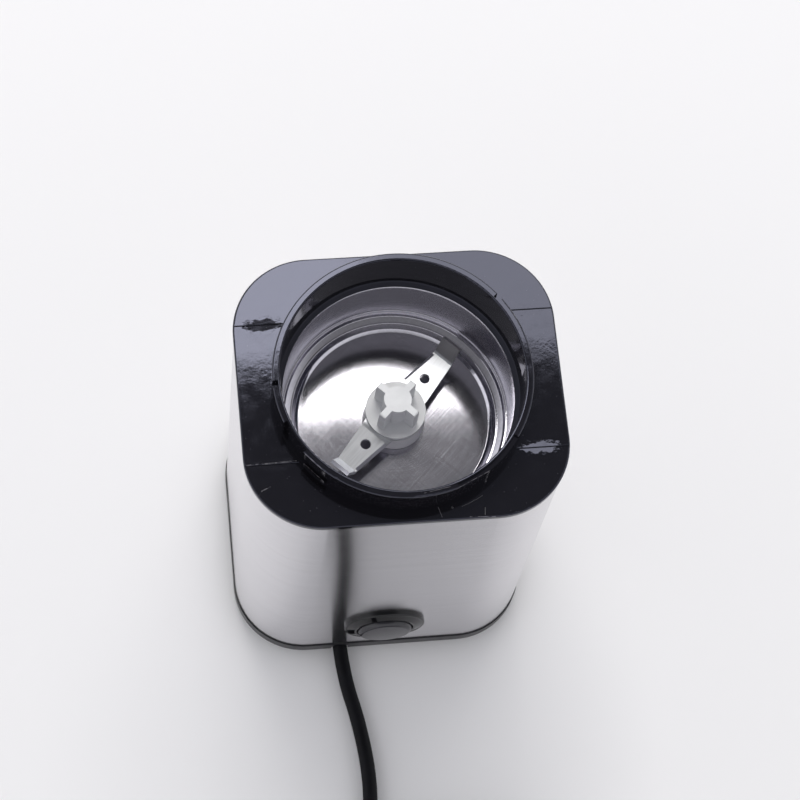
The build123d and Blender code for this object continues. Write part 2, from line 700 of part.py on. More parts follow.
def blade_carrier():
    """White hub below the blade, hollow over the bowl's boss."""
    low = BOWL_FLOOR + HUB_FLOOR_GAP
    roof = BLADE_LOW - HUB_ROOF
    inner = HUB_SKIRT_RADIUS - HUB_SKIRT_WALL
    return turned([
        (HUB_RADIUS, BLADE_LOW),
        (HUB_SKIRT_RADIUS, low),
        (inner, low),
        (inner, roof),
        (SHAFT_RADIUS, roof),
        (SHAFT_RADIUS, BLADE_LOW),
    ])


def blade_arm():
    """One arm along +X: tapered, pierced, bevelled, with its tip turned up."""
    rise = math.radians(BLADE_TIP_ANGLE)
    tip_x = BLADE_BEND_REACH + BLADE_TIP_LENGTH * math.cos(rise)
    tip_z = BLADE_LOW + BLADE_TIP_LENGTH * math.sin(rise)
    side = [(0, BLADE_LOW), (BLADE_BEND_REACH, BLADE_LOW), (tip_x, tip_z)]
    profile = make_face(Polyline(*[(r, 0, z) for r, z in thickened(side, BLADE_SHEET)], close=True))
    strip = extrude(profile, BLADE_ROOT + 1, dir=(0, 1, 0), both=True)
    half = BLADE_BEND_WIDTH / 2
    tip_half = half - BLADE_TIP_TAPER
    plan = make_face(Polyline(
        (0, -BLADE_ROOT), (BLADE_BEND_REACH, -half), (tip_x + 1, -tip_half),
        (tip_x + 1, tip_half), (BLADE_BEND_REACH, half), (0, BLADE_ROOT), close=True,
    ))
    arm = strip & (Pos(0, 0, BLADE_LOW - 1) * extrude(plan, BLADE_TIP_LENGTH + 4))
    hole = Pos(BLADE_HOLE_REACH, 0, 0) * rod(BLADE_HOLE_RADIUS, BLADE_LOW - 1, BLADE_TOP + 1)
    edge_turn = math.degrees(math.atan2(half - BLADE_ROOT, BLADE_BEND_REACH))
    depth = BLADE_SHEET * 2 / 3
    wedge = make_face(Polyline(
        (0, -BLADE_BEVEL, 0.01), (0, 1, 0.01), (0, 1, -depth), (0, 0, -depth), close=True,
    ))
    wedge = extrude(wedge, BLADE_BEND_REACH - HUB_RADIUS - 2, dir=(1, 0, 0))
    wedge = Pos(0, BLADE_ROOT, BLADE_TOP) * Rot(Z=edge_turn) * Pos(HUB_RADIUS + 1, 0, 0) * wedge
    return arm - hole - wedge


def blade():
    """Two-arm blade, pinned between the carrier and the knob."""
    arm = blade_arm()
    body = rod(HUB_RADIUS - 0.3, BLADE_LOW, BLADE_TOP) + arm + Rot(Z=180) * arm
    return Rot(Z=BLADE_TURN) * (body - rod(SHAFT_RADIUS, BLADE_LOW - 1, BLADE_TOP + 1))


def blade_knob():
    """White knob on the blade: round flange, drafted post and fins."""
    flange = rod(HUB_RADIUS, BLADE_TOP, KNOB_LOW)
    cross = Circle(KNOB_POST_RADIUS)
    fin = Pos(KNOB_FIN_REACH / 2, 0) * Rectangle(KNOB_FIN_REACH, KNOB_FIN_SHEET)
    for turn in range(KNOB_FINS):
        cross = cross + Rot(Z=360 / KNOB_FINS * turn) * fin
    grip = Pos(0, 0, KNOB_LOW) * extrude(cross, KNOB_HEIGHT, taper=KNOB_DRAFT)
    envelope = rod(KNOB_FIN_REACH, KNOB_LOW - 0.5, KNOB_LOW + KNOB_HEIGHT)
    envelope = fillet(envelope.edges().group_by(Axis.Z)[-1], KNOB_EDGE_ROUND)
    body = Rot(Z=BLADE_TURN) * (flange + (grip & envelope))
    return body - rod(SHAFT_RADIUS, BLADE_TOP - 1, SHAFT_TOP)


def rotor_core():
    """Slotted lamination stack on the shaft."""
    sheet = Circle(ROTOR_RADIUS) - Circle(SHAFT_RADIUS)
    slot = Rectangle(ROTOR_SLOT_DEPTH + 1, ROTOR_SLOT_WIDTH)
    slot = Pos(ROTOR_RADIUS - ROTOR_SLOT_DEPTH / 2 + 0.5, 0) * slot
    for turn in range(ROTOR_SLOTS):
        sheet = sheet - Rot(Z=360 / ROTOR_SLOTS * turn) * slot
    return Pos(0, 0, STACK_LOW) * extrude(sheet, STACK_HEIGHT)


def rotor_winding():
    """Copper end turns above and below the stack."""
    low = ring(WINDING_RADIUS, WINDING_CORE_RADIUS, STACK_LOW - WINDING_OVERHANG, STACK_LOW)
    high = ring(WINDING_RADIUS, WINDING_CORE_RADIUS, STACK_TOP, STACK_TOP + WINDING_OVERHANG)
    low = chamfer(low.edges().group_by(Axis.Z)[0], 2.0)
    high = chamfer(high.edges().group_by(Axis.Z)[-1], 2.0)
    return [low, high]


def commutator():
    """Copper bars on the shaft, with the riser that the winding joins."""
    sheet = Circle(COMMUTATOR_RADIUS) - Circle(SHAFT_RADIUS)
    cut = Pos(COMMUTATOR_RADIUS, 0) * Rectangle(1.6, COMMUTATOR_CUT)
    for turn in range(COMMUTATOR_BARS):
        sheet = sheet - Rot(Z=360 / COMMUTATOR_BARS * turn) * cut
    bars = Pos(0, 0, COMMUTATOR_LOW) * extrude(sheet, COMMUTATOR_HEIGHT)
    riser = ring(RISER_RADIUS, SHAFT_RADIUS, COMMUTATOR_TOP - RISER_HEIGHT, COMMUTATOR_TOP)
    return bars + riser


def cooling_fan():
    """Fan at the shaft's lower end: disc with upright blades below it."""
    body = rod(FAN_RADIUS, FAN_TOP - FAN_SHEET, FAN_TOP) + rod(FAN_HUB_RADIUS, FAN_LOW, FAN_TOP)
    half = FAN_BLADE_SHEET / 2
    vane = block((FAN_HUB_RADIUS + 2, -half, FAN_LOW), (FAN_RADIUS - 0.4, half, FAN_TOP - FAN_SHEET / 2))
    for turn in range(FAN_BLADES):
        body = body + Rot(Z=360 / FAN_BLADES * turn) * vane
    return body - rod(SHAFT_RADIUS, FAN_LOW - 1, FAN_TOP + 1)


def stator_core():
    """Two-pole lamination stack round the rotor, with the bolts' holes."""
    bore = ROTOR_RADIUS + AIR_GAP
    window_x = STATOR_WIDTH - 2 * STATOR_YOKE
    window_y = STATOR_DEPTH - 2 * STATOR_YOKE
    sheet = RectangleRounded(STATOR_WIDTH, STATOR_DEPTH, STATOR_CORNER)
    sheet = sheet - RectangleRounded(window_x, window_y, STATOR_CORNER - 2)
    for side in (0, 180):
        shoe = make_face([
            Line(polar(bore, -POLE_ANGLE), polar(bore + POLE_SHEET, -POLE_ANGLE)),
            CenterArc((0, 0), bore + POLE_SHEET, -POLE_ANGLE, 2 * POLE_ANGLE),
            Line(polar(bore + POLE_SHEET, POLE_ANGLE), polar(bore, POLE_ANGLE)),
            CenterArc((0, 0), bore, -POLE_ANGLE, 2 * POLE_ANGLE),
        ])
        start = bore + POLE_SHEET / 2
        neck = Pos((start + window_x / 2 + 1) / 2, 0) * Rectangle(window_x / 2 + 1 - start, POLE_NECK)
        sheet = sheet + Rot(Z=side) * (shoe + neck)
    for x, y in BOLTS:
        sheet = sheet - Pos(x, y) * Circle(BOLT_RADIUS)
    return Pos(0, 0, STACK_LOW) * extrude(sheet, STACK_HEIGHT)


def field_coils():
    """A copper coil round the neck of each pole."""
    low_x = ROTOR_RADIUS + AIR_GAP + POLE_SHEET + COIL_GAP
    half = COIL_WIDTH / 2
    coil = block(
        (low_x, -half, STACK_LOW - WINDING_OVERHANG),
        (low_x + COIL_SHEET, half, STACK_TOP + WINDING_OVERHANG),
    )
    coil = fillet(coil.edges().filter_by(Axis.X), 4.0)
    inner = POLE_NECK / 2 + COIL_GAP
    coil = coil - block(
        (low_x - 1, -inner, STACK_LOW - COIL_GAP),
        (low_x + COIL_SHEET + 1, inner, STACK_TOP + COIL_GAP),
    )
    return [coil, Rot(Z=180) * coil]


def bracket_sheet(low):
    """H-shaped plate: a bar through the shaft and an end bar at each pair of bolts."""
    bar = block((-BOLT_X, -BRACKET_BAR / 2, low), (BOLT_X, BRACKET_BAR / 2, low + BRACKET_SHEET))
    reach = BOLT_Y + BRACKET_END / 2
    half = BRACKET_END / 2
    end = block((BOLT_X - half, -reach, low), (BOLT_X + half, reach, low + BRACKET_SHEET))
    end = fillet(end.edges().filter_by(Axis.Z), half - 0.2)
    return bar + end + Rot(Z=180) * end


def lower_bracket():
    """Lower end frame with the bearing's boss, the spacer legs and the brush seats."""
    low = LOWER_BRACKET_TOP - BRACKET_SHEET
    body = bracket_sheet(low) + rod(BOSS_RADIUS, LOWER_BOSS_LOW, LOWER_BRACKET_TOP)
    body = body + at_points(rod(LEG_RADIUS, low, STACK_LOW), BOLTS)
    start = COMMUTATOR_RADIUS + TUBE_STAND_OFF + 2
    seat = block(
        (start, -TUBE_WIDTH / 2 - 1, low),
        (start + TUBE_LENGTH - 5, TUBE_WIDTH / 2 + 1, brush_height() - TUBE_HEIGHT / 2),
    )
    body = body + seat + Rot(Z=180) * seat
    body = body - rod(BEARING_RADIUS, LOWER_BRACKET_TOP - BEARING_HEIGHT, LOWER_BRACKET_TOP + 1)
    body = body - rod(SHAFT_RADIUS + 1, LOWER_BOSS_LOW - 1, LOWER_BRACKET_TOP)
    for place in at_points(rod(BOLT_RADIUS, low - 1, STACK_LOW + 1), BOLTS):
        body = body - place
    return body


def upper_bracket():
    """Upper end frame with the bearing's boss and the spacer legs."""
    top = UPPER_BRACKET_LOW + UPPER_BOSS_HEIGHT
    body = bracket_sheet(UPPER_BRACKET_LOW) + rod(BOSS_RADIUS, UPPER_BRACKET_LOW, top)
    body = body + at_points(rod(LEG_RADIUS, STACK_TOP, UPPER_BRACKET_TOP), BOLTS)
    body = body - rod(BEARING_RADIUS, top - BEARING_HEIGHT, top + 1)
    body = body - rod(SHAFT_RADIUS + 1, UPPER_BRACKET_LOW - 1, top)
    for place in at_points(rod(BOLT_RADIUS, STACK_TOP - 1, UPPER_BRACKET_TOP + 1), BOLTS):
        body = body - place
    return body


def bearing(top):
    """Ball bearing whose top is at a height."""
    return ring(BEARING_RADIUS, SHAFT_RADIUS + SHAFT_RUNNING_GAP, top - BEARING_HEIGHT, top)


def brush_height():
    """Height of the middle of the brushes."""
    return COMMUTATOR_LOW + (COMMUTATOR_HEIGHT - RISER_HEIGHT) / 2


def brush_tubes():
    """Brass box on each side that guides a brush, closed at its outer end."""
    start = COMMUTATOR_RADIUS + TUBE_STAND_OFF
    middle = brush_height()
    w, h, t = TUBE_WIDTH / 2, TUBE_HEIGHT / 2, TUBE_WALL
    tube = block((start, -w, middle - h), (start + TUBE_LENGTH, w, middle + h))
    tube = tube - block((start - 1, -w + t, middle - h + t), (start + TUBE_LENGTH - t, w - t, middle + h - t))
    return [tube, Rot(Z=180) * tube]


def carbon_brushes():
    """Carbon block in each tube, hollowed to the commutator."""
    middle = brush_height()
    w = TUBE_WIDTH / 2 - TUBE_WALL - BRUSH_GAP
    h = TUBE_HEIGHT / 2 - TUBE_WALL - BRUSH_GAP
    brush = block((COMMUTATOR_RADIUS - 1, -w, middle - h), (COMMUTATOR_RADIUS + BRUSH_LENGTH, w, middle + h))
    brush = brush - rod(COMMUTATOR_RADIUS + BRUSH_GAP, middle - h - 1, middle + h + 1)
    return [brush, Rot(Z=180) * brush]


def motor_bolts():
    """Four long bolts through both brackets, the stator, the mounts and the carrier."""
    low = LOWER_BRACKET_TOP - BRACKET_SHEET
    bolt = rod(BOLT_HEAD_RADIUS, low - BOLT_HEAD_HEIGHT, low)
    bolt = bolt + rod(BOLT_RADIUS, low - 1, CARRIER_TOP + NUT_HEIGHT + 0.4)
    return at_points(bolt, BOLTS)


def motor_nuts():
    """A nut on each bolt, on top of the carrier."""
    sheet = RegularPolygon(BOLT_HEAD_RADIUS, 6) - Circle(BOLT_RADIUS)
    return at_points(Pos(0, 0, CARRIER_TOP) * extrude(sheet, NUT_HEIGHT), BOLTS)


def motor_mounts():
    """Rubber ring round each bolt between the motor and the carrier."""
    return at_points(ring(MOUNT_RADIUS, BOLT_RADIUS, UPPER_BRACKET_TOP, CARRIER_LOW), BOLTS)


def button_bezel():
    """Black ring on the sleeve: upright edge, rounded shoulder, sloping face and guide tube."""
    lip = BEZEL_LIP_RADIUS
    flat = lip + BEZEL_LIP_FLAT
    shoulder = BEZEL_RADIUS - BEZEL_SHOULDER
    shoulder_stand = BEZEL_EDGE_STAND + BEZEL_SHOULDER / 2
    middle = (BEZEL_RADIUS - BEZEL_SHOULDER * 0.25, BEZEL_EDGE_STAND + BEZEL_SHOULDER * 0.36)
    face = make_face([
        Line((lip, 0, -BEZEL_TUBE_LENGTH), (lip, 0, BEZEL_STAND)),
        Line((lip, 0, BEZEL_STAND), (flat, 0, BEZEL_STAND)),
        Line((flat, 0, BEZEL_STAND), (shoulder, 0, shoulder_stand)),
        ThreePointArc(
            (shoulder, 0, shoulder_stand),
            (middle[0], 0, middle[1]),
            (BEZEL_RADIUS, 0, BEZEL_EDGE_STAND),
        ),
        Line((BEZEL_RADIUS, 0, BEZEL_EDGE_STAND), (BEZEL_RADIUS, 0, 0)),
        Line((BEZEL_RADIUS, 0, 0), (BEZEL_TUBE_RADIUS, 0, 0)),
        Line((BEZEL_TUBE_RADIUS, 0, 0), (BEZEL_TUBE_RADIUS, 0, -BEZEL_TUBE_LENGTH)),
        Line((BEZEL_TUBE_RADIUS, 0, -BEZEL_TUBE_LENGTH), (lip, 0, -BEZEL_TUBE_LENGTH)),
    ])
    return facing_front(revolve(face, Axis.Z))


def bezel_clip():
    """Ring that holds the bezel behind the sleeve."""
    clip = ring(CLIP_RADIUS, BEZEL_TUBE_RADIUS, -SLEEVE_SHEET - CLIP_SHEET, -SLEEVE_SHEET)
    return facing_front(clip)


def button():
    """Domed push button with its stop flange and the stem that meets the lever."""
    face_edge = BUTTON_STAND - BUTTON_CROWN
    stop = -BEZEL_TUBE_LENGTH - BUTTON_STOP_GAP
    back = stop - BUTTON_FLANGE_SHEET
    tip = FRONT_FACE - STEM_TIP_Y
    bow = BUTTON_STAND - BUTTON_CROWN / 4
    drop = BUTTON_RADIUS - BUTTON_FACE_RADIUS
    face = make_face([
        ThreePointArc(
            (0, 0, BUTTON_STAND),
            (BUTTON_FACE_RADIUS / 2, 0, bow),
            (BUTTON_FACE_RADIUS, 0, face_edge),
        ),
        ThreePointArc(
            (BUTTON_FACE_RADIUS, 0, face_edge),
            (BUTTON_RADIUS - drop * 0.29, 0, face_edge - drop * 0.29),
            (BUTTON_RADIUS, 0, face_edge - drop),
        ),
        Line((BUTTON_RADIUS, 0, face_edge - drop), (BUTTON_RADIUS, 0, stop)),
        Line((BUTTON_RADIUS, 0, stop), (BUTTON_FLANGE_RADIUS, 0, stop)),
        Line((BUTTON_FLANGE_RADIUS, 0, stop), (BUTTON_FLANGE_RADIUS, 0, back)),
        Line((BUTTON_FLANGE_RADIUS, 0, back), (STEM_RADIUS, 0, back)),
        Line((STEM_RADIUS, 0, back), (STEM_RADIUS, 0, tip + STEM_RADIUS)),
        ThreePointArc(
            (STEM_RADIUS, 0, tip + STEM_RADIUS),
            (STEM_RADIUS * math.sin(math.pi / 4), 0, tip + STEM_RADIUS * (1 - math.cos(math.pi / 4))),
            (0, 0, tip),
        ),
        Line((0, 0, tip), (0, 0, BUTTON_STAND)),
    ])
    return facing_front(revolve(face, Axis.Z))


def spring_edges():
    """Centre line of the button's return spring, as half-turn biarcs along Y."""
    start = BUTTON_FLANGE_BACK + SPRING_WIRE / 2 + SPRING_SLACK
    rise = SPRING_LENGTH - SPRING_WIRE - 2 * SPRING_SLACK
    halves = 2 * SPRING_TURNS
    slope = rise / (2 * math.pi * SPRING_TURNS)
    edges = []
    for i in range(halves):
        side = 1 if i % 2 == 0 else -1
        a = (BUTTON_X + side * SPRING_RADIUS, start + rise * i / halves, BUTTON_HEIGHT)
        b = (BUTTON_X - side * SPRING_RADIUS, start + rise * (i + 1) / halves, BUTTON_HEIGHT)
        edges += biarc(a, (0, slope, side * SPRING_RADIUS), b, (0, slope, -side * SPRING_RADIUS))
    return edges


def button_spring():
    """Return spring round the button's stem."""
    return swept(spring_edges(), SPRING_WIRE / 2)


def switch_bracket():
    """Wall that the stem passes, with the shelf of the run switch and a foot on the base."""
    front, back = SWITCH_WALL_FRONT, SWITCH_WALL_FRONT + SWITCH_SHEET
    left = LEVER_PIN_X - BRACKET_SIDE
    right = bracket_right()
    shelf_top = BUTTON_HEIGHT - SWITCH_HEIGHT / 2
    step = BASE_LOW + TUNNEL_HEIGHT + TUNNEL_WALL + 2
    foot_left = bracket_foot_left()
    wall = block((left, front, step), (right, back, BUTTON_HEIGHT + SWITCH_HEIGHT))
    leg = block((foot_left, front, BASE_FLOOR), (right, back, step + 1))
    foot = block((foot_left, front - BRACKET_FOOT, BASE_FLOOR), (right, back, BASE_FLOOR + SWITCH_SHEET))
    shelf = block(
        (left, front, shelf_top - SHELF_SHEET),
        (switch_left() + SWITCH_LENGTH + 1, SWITCH_FACE_Y + SWITCH_DEPTH, shelf_top),
    )
    body = wall + leg + foot + shelf
    body = body - facing_front(rod(STEM_RADIUS + STEM_GAP, FRONT_FACE - back - 1, FRONT_FACE - front + 1))
    for x, y in bracket_screw_places():
        body = body - Pos(x, y, 0) * rod(BRACKET_SCREW_RADIUS, BASE_FLOOR - 1, BASE_FLOOR + SWITCH_SHEET + 1)
    return body


def bracket_right():
    """X of the bracket's right edge, beside the suppressor."""
    return SUPPRESSOR_LEFT - BRACKET_CLEARANCE


def bracket_foot_left():
    """X of the left edge of the bracket's foot, beside the cord's tunnel."""
    return CORD_X + TUNNEL_WIDTH / 2 + TUNNEL_WALL + 1


def bracket_screw_places():
    """Where the two screws of the switch bracket stand."""
    y = SWITCH_WALL_FRONT - BRACKET_FOOT / 2
    return [(bracket_foot_left() + BRACKET_SCREW_EDGE, y), (bracket_right() - BRACKET_SCREW_EDGE, y)]


def bracket_screws():
    """Two screws that hold the switch bracket to the base."""
    screw = rod(BRACKET_SCREW_RADIUS, BASE_FLOOR, BASE_FLOOR + SWITCH_SHEET)
    screw = screw + rod(2 * BRACKET_SCREW_RADIUS, BASE_FLOOR + SWITCH_SHEET, BASE_FLOOR + SWITCH_SHEET + 1.6)
    return at_points(screw, bracket_screw_places())


def switch_left():
    """X of the switch body's left end, past the lever's pin."""
    return LEVER_PIN_X - 2


def switch_body():
    """Body of the run switch with the ears and pin of its lever."""
    low = BUTTON_HEIGHT - SWITCH_HEIGHT / 2
    high = BUTTON_HEIGHT + SWITCH_HEIGHT / 2
    left = switch_left()
    body = block((left, SWITCH_FACE_Y, low), (left + SWITCH_LENGTH, SWITCH_FACE_Y + SWITCH_DEPTH, high))
    ear = LEVER_KNUCKLE_RADIUS
    front, back = LEVER_PIN_Y - ear, SWITCH_FACE_Y + 1
    for z0, z1 in ((low, low + EAR_SHEET), (high - EAR_SHEET, high)):
        body = body + block((LEVER_PIN_X - ear, front, z0), (LEVER_PIN_X + ear, back, z1))
    body = body + Pos(LEVER_PIN_X, LEVER_PIN_Y, 0) * rod(LEVER_PIN_RADIUS, low, high)
    reach = SWITCH_FACE_Y - PLUNGER_REST + plunger_length() + PLUNGER_TRAVEL + 0.4
    bore = rod(PLUNGER_RADIUS + SHAFT_RUNNING_GAP, -reach, -SWITCH_FACE_Y + 1)
    return body - Pos(LEVER_PIN_X + PLUNGER_ARM, 0, BUTTON_HEIGHT) * Rot(X=90) * bore


def plunger_tip():
    """Y of the plunger's tip, just behind the resting lever."""
    tilt = math.radians(LEVER_SWING)
    centre = LEVER_PIN_Y - PLUNGER_ARM * math.tan(tilt)
    return centre + LEVER_SHEET / 2 / math.cos(tilt) + PLUNGER_GAP


def plunger_length():
    """Length of the plunger, from its tip to its blunt end in the body."""
    return SWITCH_FACE_Y - plunger_tip() + 2.5


def switch_lever():
    """Spring-steel lever, leaning towards the button at rest."""
    half = LEVER_WIDTH / 2
    strip = block((0, -LEVER_SHEET / 2, -half), (LEVER_ARM + LEVER_OVERHANG, LEVER_SHEET / 2, half))
    strip = strip + rod(LEVER_KNUCKLE_RADIUS, -half, half)
    strip = strip - rod(LEVER_PIN_RADIUS + SHAFT_RUNNING_GAP, -half - 1, half + 1)
    return Pos(LEVER_PIN_X, LEVER_PIN_Y, BUTTON_HEIGHT) * Rot(Z=-LEVER_SWING) * strip


def switch_plunger():
    """Small plunger that the lever presses."""
    tip = plunger_tip()
    pin = rod(PLUNGER_RADIUS, -tip - plunger_length(), -tip)
    pin = fillet(pin.edges().group_by(Axis.Z)[-1], 0.6)
    return Pos(LEVER_PIN_X + PLUNGER_ARM, 0, BUTTON_HEIGHT) * Rot(X=90) * pin


def suppressor():
    """Interference suppressor that stands on the base."""
    x, y, z = SUPPRESSOR_SIZE
    left = SUPPRESSOR_LEFT
    front = SKIRT_FRONT + SUPPRESSOR_CLEARANCE
    body = block((left, front, BASE_FLOOR), (left + x, front + y, BASE_FLOOR + z))
    return fillet(body.edges().filter_by(Axis.Z), 1.0)


def strain_relief():
    """Tapered boot on the cord inside the tunnel."""
    length = math.hypot(CORD_TIP_Y - CORD_GLAND_Y, CORD_TIP_Z - CORD_GLAND_Z)
    cone = Cone(RELIEF_ROOT_RADIUS, RELIEF_TIP_RADIUS, length, align=(Align.CENTER, Align.CENTER, Align.MIN))
    return cord_line_plane() * cone


def cord_inner():
    """End of the cord inside the housing."""
    return cord_line_plane() * rod(CORD_DIAMETER / 2, -INNER_CORD_LENGTH, 0)


def clamp_middle():
    """Y of the cord clamp's middle."""
    return CORD_GLAND_Y + CLAMP_TO_GLAND + CLAMP_LENGTH / 2


def cord_clamp():
    """Saddle screwed over the inner cord."""
    half = CLAMP_WIDTH / 2
    middle = clamp_middle()
    body = block(
        (CORD_X - half, middle - CLAMP_LENGTH / 2, BASE_FLOOR),
        (CORD_X + half, middle + CLAMP_LENGTH / 2, BASE_FLOOR + CLAMP_HEIGHT),
    )
    body = body - cord_line_plane() * rod(CORD_DIAMETER / 2, -INNER_CORD_LENGTH - CLAMP_LENGTH, CLAMP_LENGTH)
    for x, y in clamp_screw_places():
        body = body - Pos(x, y, 0) * rod(BRACKET_SCREW_RADIUS, BASE_FLOOR - 1, BASE_FLOOR + CLAMP_HEIGHT + 1)
    return body


def clamp_screw_places():
    """Where the cord clamp's two screws stand."""
    reach = (CLAMP_WIDTH + CORD_DIAMETER) / 4
    return [(CORD_X - reach, clamp_middle()), (CORD_X + reach, clamp_middle())]


def clamp_screws():
    """Two screws of the cord clamp."""
    top = BASE_FLOOR + CLAMP_HEIGHT
    screw = rod(BRACKET_SCREW_RADIUS, BASE_FLOOR, top) + rod(2 * BRACKET_SCREW_RADIUS, top, top + 1.4)
    return at_points(screw, clamp_screw_places())


def coil_height():
    """Height of the coil's lower layer, which lies on its tie."""
    return TIE_SHEET + TIE_GAP + CORD_DIAMETER / 2


def routed(points):
    """Straight runs joined by arcs as large as the runs allow; prints the radii."""
    radii = []
    for a, b, c in zip(points, points[1:], points[2:]):
        before, after = Vector(*b) - Vector(*a), Vector(*c) - Vector(*b)
        turn = math.radians(before.get_angle(after))
        radii.append(0.45 * min(before.length, after.length) / math.tan(turn / 2))
    print("radii", [round(r, 1) for r in radii])
    return FilletPolyline(*points, radius=radii).edges()


def cord_points():
    """Route of the cord from the strain relief to the coil, in the shaft's frame."""
    low = CORD_DIAMETER / 2
    x, y = COIL_ENTRY
    fall = (CORD_GLAND_Z - CORD_TIP_Z) / (CORD_GLAND_Y - CORD_TIP_Y)
    return [
        (CORD_X, CORD_TIP_Y, CORD_TIP_Z),
        (CORD_X, CORD_TIP_Y - (CORD_TIP_Z - low) / fall, low),
        (CORD_X + 1.6, -72.0, low),
        (CORD_X + 0.9, -94.0, low),
        (CORD_X - 0.9, -116.0, low),
        (x, y + CORD_DIAMETER + 12, coil_height()),
        (x, y + CORD_DIAMETER, coil_height()),
    ]


def cord():
    """Free stretch of the cord on the surface."""
    edges = routed(cord_points())
    tube = swept(edges, CORD_DIAMETER / 2)
    tell_volume("cord", tube, edges, CORD_DIAMETER / 2)
    return tube


def tell_volume(name, tube, edges, radius):
    """Print a tube's volume beside its section times its length."""
    length = sum(edge.length for edge in edges)
    print(name, "length", round(length, 1), "volume", round(tube.volume), round(math.pi * radius**2 * length))


def coil_edges():
    """Centre line of the put-away coil: half turns in, a climb, half turns out."""
    x, y = COIL_ENTRY
    z = coil_height()
    edges = [Line((x, y + CORD_DIAMETER, z), (x, y, z))]
    side = 1
    radius = COIL_OUTER_RADIUS
    for _ in range(COIL_TURNS_IN):
        middle = (x + side * radius, y - side * radius, z)
        edges.append(ThreePointArc((x, y, z), middle, (x + 2 * side * radius, y, z)))
        x += 2 * side * radius
        side = -side
        radius -= COIL_PITCH / 2
    rise = z + COIL_PITCH
    end = (x + 2 * side * COIL_CLIMB_RADIUS, y, rise)
    edges += biarc((x, y, z), (0, -side, 0), end, (0, side, 0))
    x, z = end[0], rise
    side = -side
    radius += COIL_PITCH / 2
    for _ in range(COIL_TURNS_OUT):
        middle = (x + side * radius, y - side * radius, z)
        edges.append(ThreePointArc((x, y, z), middle, (x + 2 * side * radius, y, z)))
        x += 2 * side * radius
        side = -side
        radius += COIL_PITCH / 2
    edges.append(Line((x, y, z), (x, y - side * CORD_DIAMETER, z)))
    return edges


def cord_coil():
    """Put-away coil of the cord, in two layers."""
    edges = coil_edges()
    tube = swept(edges, CORD_DIAMETER / 2)
    tell_volume("coil", tube, edges, CORD_DIAMETER / 2)
    print("coil least gap", round(least_gap(edges, CORD_DIAMETER), 2))
    return tube


def coil_right():
    """X of the coil's outermost loop on the side of the tie."""
    return COIL_ENTRY[0] + 2 * COIL_OUTER_RADIUS


def cord_tie():
    """Band round the coil's bundle."""
    right = coil_right() + CORD_DIAMETER / 2 + 0.3
    left = coil_right() - 2 * COIL_PITCH - CORD_DIAMETER / 2 - 1.1
    low = TIE_SHEET
    high = coil_height() + COIL_PITCH + CORD_DIAMETER / 2 + 0.2
    half = TIE_WIDTH / 2
    y = COIL_ENTRY[1]
    t = TIE_SHEET
    body = block((left - t, y - half, low - t), (right + t, y + half, high + t))
    body = fillet(body.edges().filter_by(Axis.Y), 1.6)
    hole = block((left, y - half - 1, low), (right, y + half + 1, high))
    return body - fillet(hole.edges().filter_by(Axis.Y), 0.8)


def tail_points():
    """Route of the cord from the coil to the plug."""
    end = coil_edges()[-1] @ 1
    low = PLUG_THICKNESS / 2 + 0.2
    return [
        (end.X, end.Y, end.Z),
        (end.X, end.Y - 18.0, end.Z),
        (end.X + 2.6, end.Y - 35.0, low),
        (end.X + 7.0, end.Y - 51.0, low),
    ]


def cord_tail():
    """Free stretch between the coil and the plug."""
    edges = routed(tail_points())
    tube = swept(edges, CORD_DIAMETER / 2)
    tell_volume("tail", tube, edges, CORD_DIAMETER / 2)
    return tube


def plug_plane():
    """Plane at the plug's back, pointing out of its pins."""
    a, b = tail_points()[-2:]
    way = (b[0] - a[0], b[1] - a[1], 0)
    return Plane(origin=b, x_dir=(-way[1], way[0], 0), z_dir=way)


def plug_body():
    """Flat two-pin plug, moulded on the cord."""
    sections = [
        Plane.XY.offset(0) * RectangleRounded(8.0, 8.0, 3.6),
        Plane.XY.offset(PLUG_LENGTH * 0.35) * RectangleRounded(16.0, 11.0, 4.0),
        Plane.XY.offset(PLUG_LENGTH * 0.75) * RectangleRounded(PLUG_WIDTH - 5, PLUG_THICKNESS - 0.7, 4.6),
        Plane.XY.offset(PLUG_LENGTH) * RectangleRounded(PLUG_WIDTH, PLUG_THICKNESS, 5.0),
    ]
    return plug_plane() * loft(sections, ruled=True)


def plug_pins():
    """Two round pins of the plug."""
    pin = rod(PIN_RADIUS, PLUG_LENGTH, PLUG_LENGTH + PIN_LENGTH)
    pin = fillet(pin.edges().group_by(Axis.Z)[-1], 1.2)
    return [plug_plane() * Pos(x, 0, 0) * pin for x in (-PIN_SPACING / 2, PIN_SPACING / 2)]


def write(name, shape):
    """Write one piece, or a group of equal pieces, in the frame of the footprint."""
    solids = shape if isinstance(shape, list) else [shape]
    solids = [solid for item in solids for solid in item.solids()]
    moved = [Pos(0, SHAFT_BACK, 0) * solid for solid in solids]
    whole = moved[0] if len(moved) == 1 else Compound(children=moved)
    export_step(whole, f"parts/{name}.step")


